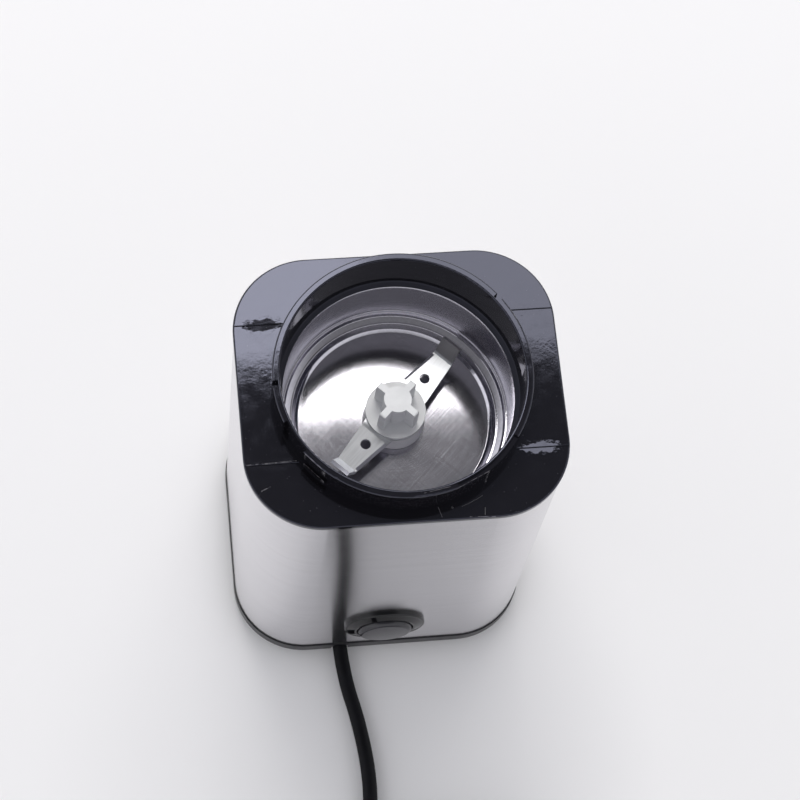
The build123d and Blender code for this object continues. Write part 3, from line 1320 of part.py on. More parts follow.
os.makedirs("parts", exist_ok=True)
PIECES = {
    "top_cover": top_cover,
    "outer_sleeve": outer_sleeve,
    "base_plate": base_plate,
    "feet": feet,
    "tie_screws": tie_screws,
    "motor_carrier": motor_carrier,
    "bowl": bowl,
    "bowl_seal": bowl_seal,
    "bowl_support": bowl_support,
    "shaft_seal": shaft_seal,
    "motor_shaft": motor_shaft,
    "blade_carrier": blade_carrier,
    "blade": blade,
    "blade_knob": blade_knob,
    "rotor_core": rotor_core,
    "rotor_winding": rotor_winding,
    "commutator": commutator,
    "cooling_fan": cooling_fan,
    "stator_core": stator_core,
    "field_coils": field_coils,
    "lower_bracket": lower_bracket,
    "upper_bracket": upper_bracket,
    "lower_bearing": lambda: bearing(LOWER_BRACKET_TOP),
    "upper_bearing": lambda: bearing(UPPER_BRACKET_LOW + UPPER_BOSS_HEIGHT),
    "brush_tubes": brush_tubes,
    "carbon_brushes": carbon_brushes,
    "motor_bolts": motor_bolts,
    "motor_nuts": motor_nuts,
    "motor_mounts": motor_mounts,
    "button_bezel": button_bezel,
    "bezel_clip": bezel_clip,
    "button": button,
    "button_spring": button_spring,
    "switch_bracket": switch_bracket,
    "bracket_screws": bracket_screws,
    "switch_body": switch_body,
    "switch_lever": switch_lever,
    "switch_plunger": switch_plunger,
    "suppressor": suppressor,
    "strain_relief": strain_relief,
    "cord_inner": cord_inner,
    "cord_clamp": cord_clamp,
    "clamp_screws": clamp_screws,
    "cord": cord,
    "cord_coil": cord_coil,
    "cord_tie": cord_tie,
    "cord_tail": cord_tail,
    "plug_body": plug_body,
    "plug_pins": plug_pins,
}
for piece, make in PIECES.items():
    write(piece, make())
print("lever swing", round(LEVER_SWING, 3), "plunger travel", round(PLUNGER_TRAVEL, 4))
print("lever pin", LEVER_PIN_X, round(LEVER_PIN_Y + SHAFT_BACK, 4), "shaft", SHAFT_BACK)
print("spring seat", round(SWITCH_WALL_FRONT + SHAFT_BACK, 3), "button height", BUTTON_HEIGHT)
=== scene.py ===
import math

import bmesh
import bpy
from bpy.props import FloatProperty, FloatVectorProperty, IntProperty, PointerProperty
from mathutils import Matrix, Vector


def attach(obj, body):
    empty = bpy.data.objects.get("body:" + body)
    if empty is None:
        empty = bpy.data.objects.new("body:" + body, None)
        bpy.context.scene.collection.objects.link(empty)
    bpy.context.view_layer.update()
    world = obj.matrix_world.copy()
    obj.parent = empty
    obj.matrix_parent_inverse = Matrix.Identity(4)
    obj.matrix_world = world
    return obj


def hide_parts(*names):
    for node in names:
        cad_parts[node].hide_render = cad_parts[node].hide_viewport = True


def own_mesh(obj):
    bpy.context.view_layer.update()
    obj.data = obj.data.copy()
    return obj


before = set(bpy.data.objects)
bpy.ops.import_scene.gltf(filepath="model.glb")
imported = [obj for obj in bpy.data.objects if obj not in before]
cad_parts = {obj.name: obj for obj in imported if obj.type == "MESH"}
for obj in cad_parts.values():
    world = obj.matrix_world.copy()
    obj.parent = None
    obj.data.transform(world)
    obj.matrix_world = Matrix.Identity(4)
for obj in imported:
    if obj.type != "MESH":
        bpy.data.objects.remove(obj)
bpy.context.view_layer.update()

bl_info = {
    "name": "Coffee grinder dresser",
    "version": (1, 0, 0),
    "blender": (4, 5, 0),
    "location": "3D View > Sidebar > Grinder",
    "description": "Dresses the grinder's frame with its finishes, cord, bowl, spring, marks and studio",
    "category": "Object",
}

MM = 0.001

# Places in millimetres. The origin is under the middle of the body, and the shaft stands a little behind it.
SHAFT_BACK = 2.0
# On the top: each crease before or behind the shaft, and the sinks beside it to the left and right.
CREASE_FROM_SHAFT = 22.8
SINK_MIDDLE = 40.5
SINK_REACH = 8.0
SINK_WIDTH_SQUARED = 11.0
# Where a finish changes into the next, from and to. The neck's lip starts just past the neck's inner wall.
LIP_RADII = (37.45, 37.55)
LIP_HEIGHTS = (134.2, 134.7)
# Outside the floor the bowl is painted lighter, a painted reflection on its wall.
BOWL_FLOOR_RADII = (30.0, 31.0)
BOWL_WALL_HEIGHTS = (115.6, 116.6)
# The sleeve's corners are painted lighter between these widths, a painted reflection of the brighter room at
# the sides.
SLEEVE_LIT_CORNERS = (22.0, 48.0)
# Above these heights the far tip is painted dark, a painted reflection.
BLADE_TIP_HEIGHTS = (118.2, 119.0)
NEAR_ARM = (-7.0, -9.0)

# The top's pale strokes: x and y of each start, x and y of its end, and half its width. The first is a
# painted highlight along the left front crease and the last three are painted highlights on the neck's
# outside; the rest are scuff marks and the gate mark.
SCUFFS_AND_HIGHLIGHTS = [
    (-48.9, -20.6, -34.0, -20.2, 0.30),
    (-47.0, -31.4, -45.0, -29.0, 0.22),
    (-45.0, -29.0, -42.5, -27.9, 0.22),
    (7.4, -37.8, 8.3, -41.0, 0.15),
    (16.7, -41.5, 24.5, -41.9, 0.14),
    (2.4, -36.6, 10.4, -35.1, 0.12),
    (13.2, -35.2, 22.9, -30.6, 0.12),
    (-31.9, -21.7, -26.4, -27.8, 0.12),
]

# The lid's turning marks on the top. The arc runs round the shaft, by degrees from the front.
MARK_FOOT = 139.9
MARK_TOP = 140.1
ARC_RADIUS = 42.7
ARC_DEGREES = range(20, 31, 2)
ARC_HALF_WIDTH = 0.16
TICK = [(21.61, -38.9), (21.35, -41.3)]
TICK_HALF_WIDTH = 0.14
RIB_TOP_SHARE = 0.6
DOT_MIDDLE = (11.7, -38.2)
DOT_RADIUS = 0.45
DOT_TOP_SHARE = 0.7
DOT_SIDES = 24

# The cord's route from the strain relief to the coil: sideways, back from the shaft, and height.
STRETCH = [
    (-15.0, -40.0, 4.74), (-14.6, -52.97, 2.5), (-10.2, -72.0, 2.5), (-8.2, -94.0, 2.5),
    (-11.6, -116.0, 2.5), (-16.5, -129.0, 3.4), (-16.5, -141.0, 3.4),
]
COIL_START = (-16.5, -146.0, 3.4)
INWARD_HALF_TURNS = 5
CLIMB_RADIUS = 19.0
PLUG_HEIGHT = 7.05

# Facets of the return spring: round one turn of it, and round its wire.
SPRING_STEPS = 24
WIRE_SIDES = 12


class GrinderCamera(bpy.types.PropertyGroup):
    """Where the photograph was taken from."""

    azimuth: FloatProperty(
        name="Azimuth", description="Turn of the view about the upright axis",
        default=math.radians(-17.21), subtype="ANGLE",
    )
    elevation: FloatProperty(
        name="Elevation", description="Height of the view above the horizon",
        default=math.radians(68.51), subtype="ANGLE",
    )
    roll: FloatProperty(
        name="Roll", description="Turn of the picture about the line of sight",
        default=math.radians(-12.49), subtype="ANGLE",
    )
    distance: FloatProperty(
        name="Distance", description="From the lens to the middle of the top",
        default=0.79233, unit="LENGTH",
    )
    target: FloatVectorProperty(
        name="Target", description="Point in the middle of the picture",
        default=(-0.00074, -0.00267, 0.140), subtype="TRANSLATION",
    )
    lens: FloatProperty(
        name="Lens", description="Focal length on a 36 mm wide picture",
        default=116.77, unit="CAMERA",
    )


class GrinderStudio(bpy.types.PropertyGroup):
    """Lamps, surroundings and the table."""

    near_level: FloatProperty(
        name="Left softbox level", description="Brightness of the left overhead softbox",
        default=7.8, min=0.0,
    )
    far_level: FloatProperty(
        name="Right softbox level", description="Brightness of the right overhead softbox",
        default=4.3, min=0.0,
    )
    lamp_color: FloatVectorProperty(
        name="Softbox colour", description="Colour of both softboxes",
        default=(1.0, 0.985, 0.96), subtype="COLOR",
    )
    box_width: FloatProperty(
        name="Softbox width", description="Width of each overhead softbox",
        default=0.75, unit="LENGTH",
    )
    box_depth: FloatProperty(
        name="Softbox depth", description="Depth of each overhead softbox",
        default=0.90, unit="LENGTH",
    )
    box_meeting: FloatVectorProperty(
        name="Softbox place", description="Where the softboxes meet, at their front edge",
        default=(0.20, 0.76, 2.04), subtype="TRANSLATION",
    )
    room_color: FloatVectorProperty(
        name="Room colour", description="Colour of the light from the room",
        default=(0.96, 0.965, 1.0), subtype="COLOR",
    )
    zenith_level: FloatProperty(
        name="Ceiling level", description="Brightness of the room straight overhead",
        default=0.22, min=0.0,
    )
    room_level: FloatProperty(
        name="Room level", description="Brightness of the room's walls",
        default=1.0, min=0.0,
    )
    left_lift: FloatProperty(
        name="Left lift", description="Brightness that the room gains to the left",
        default=0.22, min=0.0,
    )
    front_level: FloatProperty(
        name="Front level", description="Brightness of the room in front of the table",
        default=1.0, min=0.0,
    )
    table_color: FloatVectorProperty(
        name="Table", description="Colour of the table",
        default=(0.892, 0.886, 0.893), subtype="COLOR",
    )


class GrinderFinish(bpy.types.PropertyGroup):
    """Colours of the grinder's finishes."""

    steel_color: FloatVectorProperty(
        name="Steel", description="Colour of the brushed sleeve",
        default=(0.70, 0.69, 0.711), subtype="COLOR",
    )
    bowl_color: FloatVectorProperty(
        name="Bowl", description="Colour of the spun bowl",
        default=(0.48, 0.47, 0.515), subtype="COLOR",
    )
    blade_color: FloatVectorProperty(
        name="Blade", description="Colour of the blade's steel",
        default=(0.62, 0.63, 0.655), subtype="COLOR",
    )
    cover_color: FloatVectorProperty(
        name="Cover", description="Colour of the glossy black top",
        default=(0.0065, 0.006, 0.0075), subtype="COLOR",
    )
    base_color: FloatVectorProperty(
        name="Base", description="Colour of the base and its rim",
        default=(0.010, 0.010, 0.012), subtype="COLOR",
    )
    hub_color: FloatVectorProperty(
        name="Hub", description="Colour of the white knob",
        default=(0.92, 0.93, 0.945), subtype="COLOR",
    )
    cord_color: FloatVectorProperty(
        name="Cord", description="Colour of the cord and plug",
        default=(0.0045, 0.0045, 0.006), subtype="COLOR",
    )


class GrinderCord(bpy.types.PropertyGroup):
    """Real sizes of the cord."""

    diameter: FloatProperty(
        name="Diameter", description="Across the round cord",
        default=0.005, unit="LENGTH",
    )
    length: FloatProperty(
        name="Length", description="From the strain relief to the plug",
        default=0.9807, unit="LENGTH",
    )
    coil_radius: FloatProperty(
        name="Coil radius", description="Middle line of the outer turn",
        default=0.033, unit="LENGTH",
    )
    coil_pitch: FloatProperty(
        name="Coil pitch", description="Between neighbouring turns",
        default=0.0056, unit="LENGTH",
    )
    turn_points: IntProperty(
        name="Points per turn", description="Control points in each turn of the coil",
        default=16, min=12,
    )


class GrinderBowl(bpy.types.PropertyGroup):
    """Real sizes of the pressed bowl."""

    sheet: FloatProperty(
        name="Sheet", description="Thickness of the pressed steel",
        default=0.0004, unit="LENGTH",
    )
    floor_top: FloatProperty(
        name="Floor top", description="Height of the floor's middle",
        default=0.1102, unit="LENGTH",
    )
    dome: FloatProperty(
        name="Dome", description="Fall of the floor, in mm per square mm of radius",
        default=0.001,
    )
    segments: IntProperty(
        name="Segments", description="Facets round the bowl",
        default=240, min=48,
    )


class GrinderSpring(bpy.types.PropertyGroup):
    """Real sizes of the button's return spring."""

    seat: FloatVectorProperty(
        name="Seat", description="Middle of the spring's fixed end",
        default=(-0.0012, -0.0289, 0.0304), subtype="TRANSLATION",
    )
    free_length: FloatProperty(
        name="Free length", description="From the seat to the button at rest",
        default=0.00566, unit="LENGTH",
    )
    closed_share: FloatProperty(
        name="Closed share", description="Share of its length that the pressed button leaves",
        default=0.47, min=0.0, max=1.0,
    )
    radius: FloatProperty(
        name="Radius", description="Middle line of the wire",
        default=0.0047, unit="LENGTH",
    )
    wire: FloatProperty(
        name="Wire", description="Across the wire",
        default=0.0007, unit="LENGTH",
    )
    turns: IntProperty(
        name="Turns", description="Turns of the wire",
        default=2, min=1,
    )


class Signal:
    """A socket whose sums and products add Math nodes."""

    def __init__(self, shader, socket):
        self.shader = shader
        self.socket = socket

    def _math(self, operation, *values):
        return self.shader.node("ShaderNodeMath", {"operation": operation}, dict(enumerate(values)))[0]

    def __add__(self, other):
        return self._math("ADD", self, other)

    def __radd__(self, other):
        return self._math("ADD", other, self)

    def __sub__(self, other):
        return self._math("SUBTRACT", self, other)

    def __rsub__(self, other):
        return self._math("SUBTRACT", other, self)

    def __mul__(self, other):
        return self._math("MULTIPLY", self, other)

    def __truediv__(self, other):
        return self._math("DIVIDE", self, other)

    def __pow__(self, other):
        return self._math("POWER", self, other)

    def __abs__(self):
        return self._math("ABSOLUTE", self)

    def wave(self):
        """Sine of this value, in radians."""
        return self._math("SINE", self)

    def clamped(self):
        """This value, kept between 0 and 1."""
        return self.shader.node("ShaderNodeClamp", {}, {"Value": self, "Min": 0.0, "Max": 1.0})[0]

    def ramp(self, start, end, low=0.0, high=1.0):
        """Follow this value from start to end as low to high, with soft ends."""
        return self.shader.node(
            "ShaderNodeMapRange", {"interpolation_type": "SMOOTHSTEP"},
            {"Value": self, "From Min": start, "From Max": end, "To Min": low, "To Max": high},
        )[0]


class Nodes:
    """A node tree whose nodes are all made by one method."""

    def __init__(self, tree):
        self.tree = tree

    def node(self, kind, settings, values):
        """Add a node, set it up, feed its sockets and return its outputs as signals."""
        node = self.tree.nodes.new(kind)
        for key, value in settings.items():
            setattr(node, key, value)
        for key, value in values.items():
            self.feed(node.inputs[key], value)
        return [Signal(self, socket) for socket in node.outputs if socket.enabled]

    def feed(self, socket, value):
        """Link a signal to a socket, or set the socket to a plain value."""
        if isinstance(value, Signal):
            self.tree.links.new(value.socket, socket)
        else:
            socket.default_value = value

    def split(self, vector):
        return self.node("ShaderNodeSeparateXYZ", {}, {0: vector})

    def noise(self, vector, scale, detail):
        """Random value. At a scale of 1 it changes over about one unit of the vector."""
        return self.node(
            "ShaderNodeTexNoise", {"noise_dimensions": "3D"},
            {"Vector": vector, "Scale": scale, "Detail": detail, "Roughness": 0.5},
        )[0]

    def streaks(self, directions, scales, detail):
        """Random value with a scale of its own for each direction."""
        scaled = [way * scale for way, scale in zip(directions, scales)]
        vector = self.node("ShaderNodeCombineXYZ", {}, dict(enumerate(scaled)))[0]
        return self.noise(vector, 1.0, detail)

    def cells(self, vector, scale):
        """Distance to the nearest random point."""
        return self.node("ShaderNodeTexVoronoi", {"feature": "F1"}, {"Vector": vector, "Scale": scale})[0]

    def blend(self, factor, first, second):
        """Mix two colours."""
        node = self.tree.nodes.new("ShaderNodeMix")
        node.data_type = "RGBA"
        sockets = {socket.identifier: socket for socket in (*node.inputs, *node.outputs)}
        self.feed(sockets["Factor_Float"], factor)
        for key, color in (("A_Color", first), ("B_Color", second)):
            self.feed(sockets[key], color if isinstance(color, Signal) else (*color, 1.0))
        return Signal(self, sockets["Result_Color"])

    def bump(self, height, distance):
        """Normal from a height in millimetres."""
        values = {"Height": height, "Distance": distance * MM, "Strength": 1.0}
        return self.node("ShaderNodeBump", {}, values)[0]


class Finish(Nodes):
    """One material of the grinder."""

    def __init__(self, name):
        self.material = bpy.data.materials.new(name)
        self.material.use_nodes = True
        super().__init__(self.material.node_tree)
        self.tree.nodes.clear()
        self.output = self.tree.nodes.new("ShaderNodeOutputMaterial")

    def place(self, scale=1.0 / MM):
        """Position on the piece, in millimetres, or in metres at a scale of 1."""
        coordinates = Signal(self, self.tree.nodes.new("ShaderNodeTexCoord").outputs["Object"])
        return self.node("ShaderNodeVectorMath", {"operation": "SCALE"}, {0: coordinates, "Scale": scale})[0]

    def surface(self, **values):
        """Close the material with a principled shader."""
        named = {key.replace("_", " "): value for key, value in values.items()}
        shader = self.node("ShaderNodeBsdfPrincipled", {}, named)[0]
        self.tree.links.new(shader.socket, self.output.inputs["Surface"])
        return self.material


def finish_settings():
    return bpy.context.scene.grinder_finish


def shaded(color, share):
    """A colour made lighter or darker, up to white."""
    return tuple(min(1.0, part * share) for part in color)


def wear(node_name, material):
    """Give a carried-over piece its finish."""
    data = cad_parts[node_name].data
    data.materials.clear()
    data.materials.append(material)


def length_of(x, y):
    """Length of a vector given by two signals."""
    return (x * x + y * y) ** 0.5


def stroke(x, y, start_x, start_y, end_x, end_y, half):
    """Soft line between two points of the top."""
    run, rise = end_x - start_x, end_y - start_y
    away_x, away_y = x - start_x, y - start_y
    share = ((away_x * run + away_y * rise) / (run * run + rise * rise)).clamped()
    return length_of(away_x - share * run, away_y - share * rise).ramp(half, half * 0.3)


def sinks(finish, at, x, back):
    """Slopes towards the creases, in lens shapes with ragged edges."""
    past = abs(back) - CREASE_FROM_SHAFT
    aside = (abs(x) - SINK_MIDDLE) / SINK_REACH
    ragged = (finish.noise(at, 0.45, 3.0) - 0.5) * 1.4
    lens = (1.0 - (aside * aside + past * past / SINK_WIDTH_SQUARED) + ragged).ramp(0.0, 0.7)
    # Full depth at the left back and the right front, a quarter of it at the other two.
    depth = (x * back).ramp(0.0, -1.0, 0.25, 1.0)
    slope = back.ramp(0.0, -1.0, 0.018, 0.033)
    return past * lens * depth * slope


def glossy_black():
    """Glossy black moulding: orange peel, sinks beside the creases, dust and scuffs."""
    finish = Finish("glossy_black_cover")
    at = finish.place()
    x, y, z = finish.split(at)
    back = y - SHAFT_BACK
    peel = finish.noise(at, 1.1, 2.0)
    swell = finish.noise(at, 0.12, 2.0)
    height = peel * 0.0035 + swell * 0.02 + sinks(finish, at, x, back)

    patches = finish.noise(at, 0.06, 2.0).ramp(0.45, 0.55)
    specks = finish.cells(at, 0.7).ramp(0.035, 0.055, 1.0, 0.0) * patches
    gaps = finish.noise(at, 0.9, 2.0).ramp(0.35, 0.6)
    # Pale strokes: scuff marks and the gate mark, with painted highlights along the left front crease and on
    # the neck's outside.
    scuffs_and_highlights = sum((stroke(x, y, *line) for line in SCUFFS_AND_HIGHLIGHTS), 0.0) * gaps
    marks_and_highlights = (specks * 0.5 + scuffs_and_highlights * 0.35).clamped()
    # One pale colour for dust, scuff marks and the painted highlights.
    worn_and_lit = (0.35, 0.34, 0.36)
    color = finish.blend(marks_and_highlights, finish_settings().cover_color, worn_and_lit)

    # The lip inside the neck is matt.
    lip = length_of(x, back).ramp(*LIP_RADII, 1.0, 0.0) * z.ramp(*LIP_HEIGHTS, 1.0, 0.0)
    smudge = finish.noise(at, 0.2, 4.0).ramp(0.35, 0.75, 0.04, 0.08)
    rough = smudge + specks * 0.3 + lip * 0.6
    return finish.surface(
        Base_Color=color, Roughness=rough, IOR=1.56, Specular_Tint=(0.74, 0.77, 1.0, 1.0),
        Normal=finish.bump(height, 1.0),
    )


def brushed_sleeve():
    """Horizontally brushed sheet: fine lines that run round the body."""
    finish = Finish("brushed_steel_sleeve")
    at = finish.place()
    x, y, z = finish.split(at)
    lines = finish.streaks((x, y, z), (0.02, 0.02, 5.0), 3.0)
    bands = finish.streaks((x, y, z), (0.012, 0.012, 0.9), 2.0)
    scratches = finish.streaks((x, y, z), (0.12, 0.12, 9.0), 1.0).ramp(0.72, 0.78)
    cloud = finish.noise(at, 0.03, 2.0)
    steel = finish_settings().steel_color
    # Painted reflection: the rounded corners are painted lighter, as they look when they mirror the brighter
    # room at the sides.
    corners = abs(x).ramp(*SLEEVE_LIT_CORNERS, 0.0, 0.5)
    grain_and_corner_light = lines.ramp(0.3, 0.7, 0.0, 0.3) + bands.ramp(0.3, 0.7, 0.0, 0.2) + corners
    color = finish.blend(grain_and_corner_light, shaded(steel, 0.86), shaded(steel, 1.1))
    rough = lines.ramp(0.25, 0.75, 0.15, 0.19) + cloud * 0.02 + scratches * 0.1
    height = lines * 0.004 + bands * 0.004
    return finish.surface(
        Base_Color=color, Metallic=1.0, Roughness=rough, Anisotropic=0.75, Anisotropic_Rotation=0.25,
        Normal=finish.bump(height, 0.5),
    )


def spun_steel():
    """Pressed and polished bowl: fine rings and crossed scratches."""
    finish = Finish("spun_steel_bowl")
    at = finish.place()
    x, y, z = finish.split(at)
    back = y - SHAFT_BACK
    radius = length_of(x, back)
    rings = finish.streaks((radius, z, 0.0), (3.0, 3.0, 0.0), 2.0)
    slant = finish.streaks((x + back, x - back, z), (0.03, 1.4, 1.0), 3.0)
    other = finish.streaks((x - back, x + back, z), (0.04, 1.7, 1.0), 3.0)
    cloud = finish.noise(at, 0.09, 2.0)
    floor = radius.ramp(*BOWL_FLOOR_RADII, 1.0, 0.0)
    wall = z.ramp(*BOWL_WALL_HEIGHTS)
    steel = finish_settings().bowl_color
    # Painted reflection: the wall is painted lighter than the floor; rings and scratches vary the colour at
    # random.
    grain_and_wall_light = ((rings + slant + other) / 3.0).ramp(0.4, 0.6, 0.0, 0.5) + (1.0 - floor) * 0.5
    color = finish.blend(grain_and_wall_light, shaded(steel, 0.93), shaded(steel, 1.25))
    scratches = slant.ramp(0.62, 0.74) * 0.03 + other.ramp(0.64, 0.74) * 0.03
    rough = cloud.ramp(0.35, 0.65, 0.05, 0.07) + floor * 0.06 + wall * 0.15 + scratches
    height = rings * 0.0002 + slant * 0.005 + other * 0.003
    return finish.surface(
        Base_Color=color, Metallic=1.0, Roughness=rough, Anisotropic=0.35, Anisotropic_Rotation=0.25,
        Normal=finish.bump(height, 1.0),
    )


def blade_steel():
    """Ground blade: straight grain along the arms, a dull far tip and a slightly turned near arm."""
    finish = Finish("ground_steel_blade")
    at = finish.place()
    x, y, z = finish.split(at)
    # The arms lie at 45 degrees to the body's sides.
    share = 0.70711
    along = (x + y) * share
    across = (y - x) * share
    grain = finish.streaks((along, across, z), (0.15, 5.0, 2.0), 3.0)
    cloud = finish.noise(at, 0.25, 2.0)
    steel = finish_settings().blade_color
    ground = finish.blend(grain.ramp(0.3, 0.7), shaded(steel, 0.94), shaded(steel, 1.05))
    # Painted reflection: the bent-up far tip is painted dark, as it looks when it mirrors the dark room in
    # front.
    dark_far_tip = z.ramp(*BLADE_TIP_HEIGHTS) * along.ramp(0.0, 1.0)
    painted_tip_reflection = (0.16, 0.15, 0.16)
    color = finish.blend(dark_far_tip * 0.8, ground, painted_tip_reflection)
    rough = grain.ramp(0.3, 0.7, 0.28, 0.33) + cloud * 0.04
    turned_arm = y * along.ramp(*NEAR_ARM) * 0.10
    return finish.surface(
        Base_Color=color, Metallic=1.0, Roughness=rough, Normal=finish.bump(grain * 0.0015 + turned_arm, 1.0),
    )


def moulded(name, color, rough, grain=0.004, gloss=1.5):
    """Moulded plastic or rubber with faint texture and uneven sheen."""
    finish = Finish(name)
    at = finish.place()
    fine = finish.noise(at, 2.5, 3.0)
    cloud = finish.noise(at, 0.15, 3.0)
    mixed = finish.blend(cloud.ramp(0.35, 0.7), color, shaded(color, 0.92))
    level = cloud.ramp(0.3, 0.7, rough * 0.9, rough * 1.12)
    return finish.surface(
        Base_Color=mixed, Roughness=level, IOR=gloss, Normal=finish.bump(fine * grain, 1.0),
    )


def plain_metal(name, color, rough):
    """Turned or pressed metal of the inner parts."""
    finish = Finish(name)
    at = finish.place()
    lines = finish.streaks(finish.split(at), (0.36, 0.36, 4.8), 2.0)
    cloud = finish.noise(at, 0.3, 3.0)
    mixed = finish.blend(cloud.ramp(0.35, 0.7), color, shaded(color, 0.85))
    return finish.surface(
        Base_Color=mixed, Metallic=1.0, Roughness=lines.ramp(0.3, 0.7, rough, rough * 1.3),
        Normal=finish.bump(lines * 0.004, 0.6),
    )


def laminated():
    """Stacked sheets of the motor's cores, two to the millimetre."""
    finish = Finish("laminated_iron")
    at = finish.place()
    height = finish.split(at)[2]
    radians_per_mm = 12.566
    sheets = (height * radians_per_mm).wave()
    cloud = finish.noise(at, 0.4, 3.0)
    color = finish.blend(sheets.ramp(-0.4, 0.6), (0.09, 0.09, 0.095), (0.24, 0.24, 0.25))
    return finish.surface(
        Base_Color=color, Metallic=1.0, Roughness=cloud.ramp(0.3, 0.7, 0.4, 0.55),
        Normal=finish.bump(sheets * 0.02, 0.6),
    )


def wound_copper():
    """Enamelled wire lying in turns."""
    finish = Finish("enamelled_copper")
    at = finish.place()
    x, y, z = finish.split(at)
    radians_per_mm = 9.0
    turns = ((length_of(x, y) + z) * radians_per_mm).wave()
    cloud = finish.noise(at, 0.4, 3.0)
    color = finish.blend(turns.ramp(-0.6, 0.5), (0.16, 0.045, 0.02), (0.60, 0.23, 0.10))
    return finish.surface(
        Base_Color=color, Metallic=0.8, Roughness=cloud.ramp(0.3, 0.7, 0.28, 0.4),
        Normal=finish.bump(turns * 0.05, 0.7),
    )


def jacket():
    """Black cord jacket with a soft sheen."""
    finish = Finish("cord_jacket")
    at = finish.place()
    fine = finish.noise(at, 1.6, 3.0)
    cloud = finish.noise(at, 0.1, 3.0)
    color = finish_settings().cord_color
    mixed = finish.blend(cloud.ramp(0.35, 0.7), color, shaded(color, 1.6))
    return finish.surface(
        Base_Color=mixed, Roughness=cloud.ramp(0.3, 0.7, 0.42, 0.54), IOR=1.2,
        Normal=finish.bump(fine * 0.01, 0.8),
    )


def piece_from(work, name):
    """Turn finished mesh work into a piece of the scene."""
    mesh = bpy.data.meshes.new(name)
    work.to_mesh(mesh)
    work.free()
    piece = bpy.data.objects.new(name, mesh)
    bpy.context.scene.collection.objects.link(piece)
    return piece


def camera_axes(settings):
    """Right, down and forward of the picture."""
    azimuth, elevation, roll = settings.azimuth, settings.elevation, settings.roll
    flat = math.cos(elevation)
    forward = Vector((-math.sin(azimuth) * flat, math.cos(azimuth) * flat, -math.sin(elevation)))
    level = Vector((math.cos(azimuth), math.sin(azimuth), 0.0))
    below = forward.cross(level)
    right = level * math.cos(roll) + below * math.sin(roll)
    down = below * math.cos(roll) - level * math.sin(roll)
    return right, down, forward


class GRINDER_OT_stage(bpy.types.Operator):
    """Set up the camera, the softboxes, the room and the table"""

    bl_idname = "grinder.stage"
    bl_label = "Studio"

    def execute(self, context):
        self.camera(context.scene)
        self.room(context.scene)
        self.softboxes(context.scene)
        self.table(context.scene)
        return {"FINISHED"}

    def camera(self, scene):
        settings = scene.grinder_camera
        right, down, forward = camera_axes(settings)
        data = bpy.data.cameras.new("photo_camera")
        data.sensor_width = 36.0
        data.lens = settings.lens
        data.clip_start = 0.01
        camera = bpy.data.objects.new("photo_camera", data)
        place = Vector(settings.target) - forward * settings.distance
        turn = Matrix((right, -down, -forward)).transposed()
        camera.matrix_world = Matrix.Translation(place) @ turn.to_4x4()
        scene.collection.objects.link(camera)
        scene.camera = camera

    def room(self, scene):
        """Pale walls under a darker ceiling, by the direction of sight."""
        studio = scene.grinder_studio
        world = bpy.data.worlds.new("room")
        world.use_nodes = True
        nodes = Nodes(world.node_tree)
        sight = Signal(nodes, nodes.tree.nodes.new("ShaderNodeTexCoord").outputs["Generated"])
        right, back, up = nodes.split(sight)
        walls = back.ramp(0.3, -0.5, studio.room_level, studio.front_level)
        walls = walls + right.ramp(0.2, -0.8, 0.0, studio.left_lift)
        level = walls + (studio.zenith_level - walls) * up.ramp(0.62, 0.90)
        background = world.node_tree.nodes["Background"]
        background.inputs["Color"].default_value = (*studio.room_color, 1.0)
        nodes.feed(background.inputs["Strength"], level)
        scene.world = world
        scene.view_settings.view_transform = "Standard"

    def softboxes(self, scene):
        """Two overhead lamps, side by side."""
        studio = scene.grinder_studio
        x, y, z = studio.box_meeting
        width, depth = studio.box_width, studio.box_depth
        boxes = (("left_softbox", -1, studio.near_level), ("right_softbox", 1, studio.far_level))
        for name, side, level in boxes:
            data = bpy.data.lights.new(name, "AREA")
            data.shape = "RECTANGLE"
            data.size, data.size_y = width, depth
            data.energy = level * math.pi * width * depth
            data.color = studio.lamp_color
            lamp = bpy.data.objects.new(name, data)
            lamp.location = (x + side * width / 2, y + depth / 2, z)
            scene.collection.objects.link(lamp)

    def table(self, scene):
        work = bmesh.new()
        bmesh.ops.create_grid(work, x_segments=8, y_segments=8, size=3.0)
        top = piece_from(work, "table_top")
        finish = Finish("table_paper")
        soft = finish.noise(finish.place(1.0), 0.8, 2.0)
        color = scene.grinder_studio.table_color
        mixed = finish.blend(soft.ramp(0.3, 0.7), color, shaded(color, 0.985))
        top.data.materials.append(finish.surface(Base_Color=mixed, Roughness=0.8, Specular_IOR_Level=0.2))


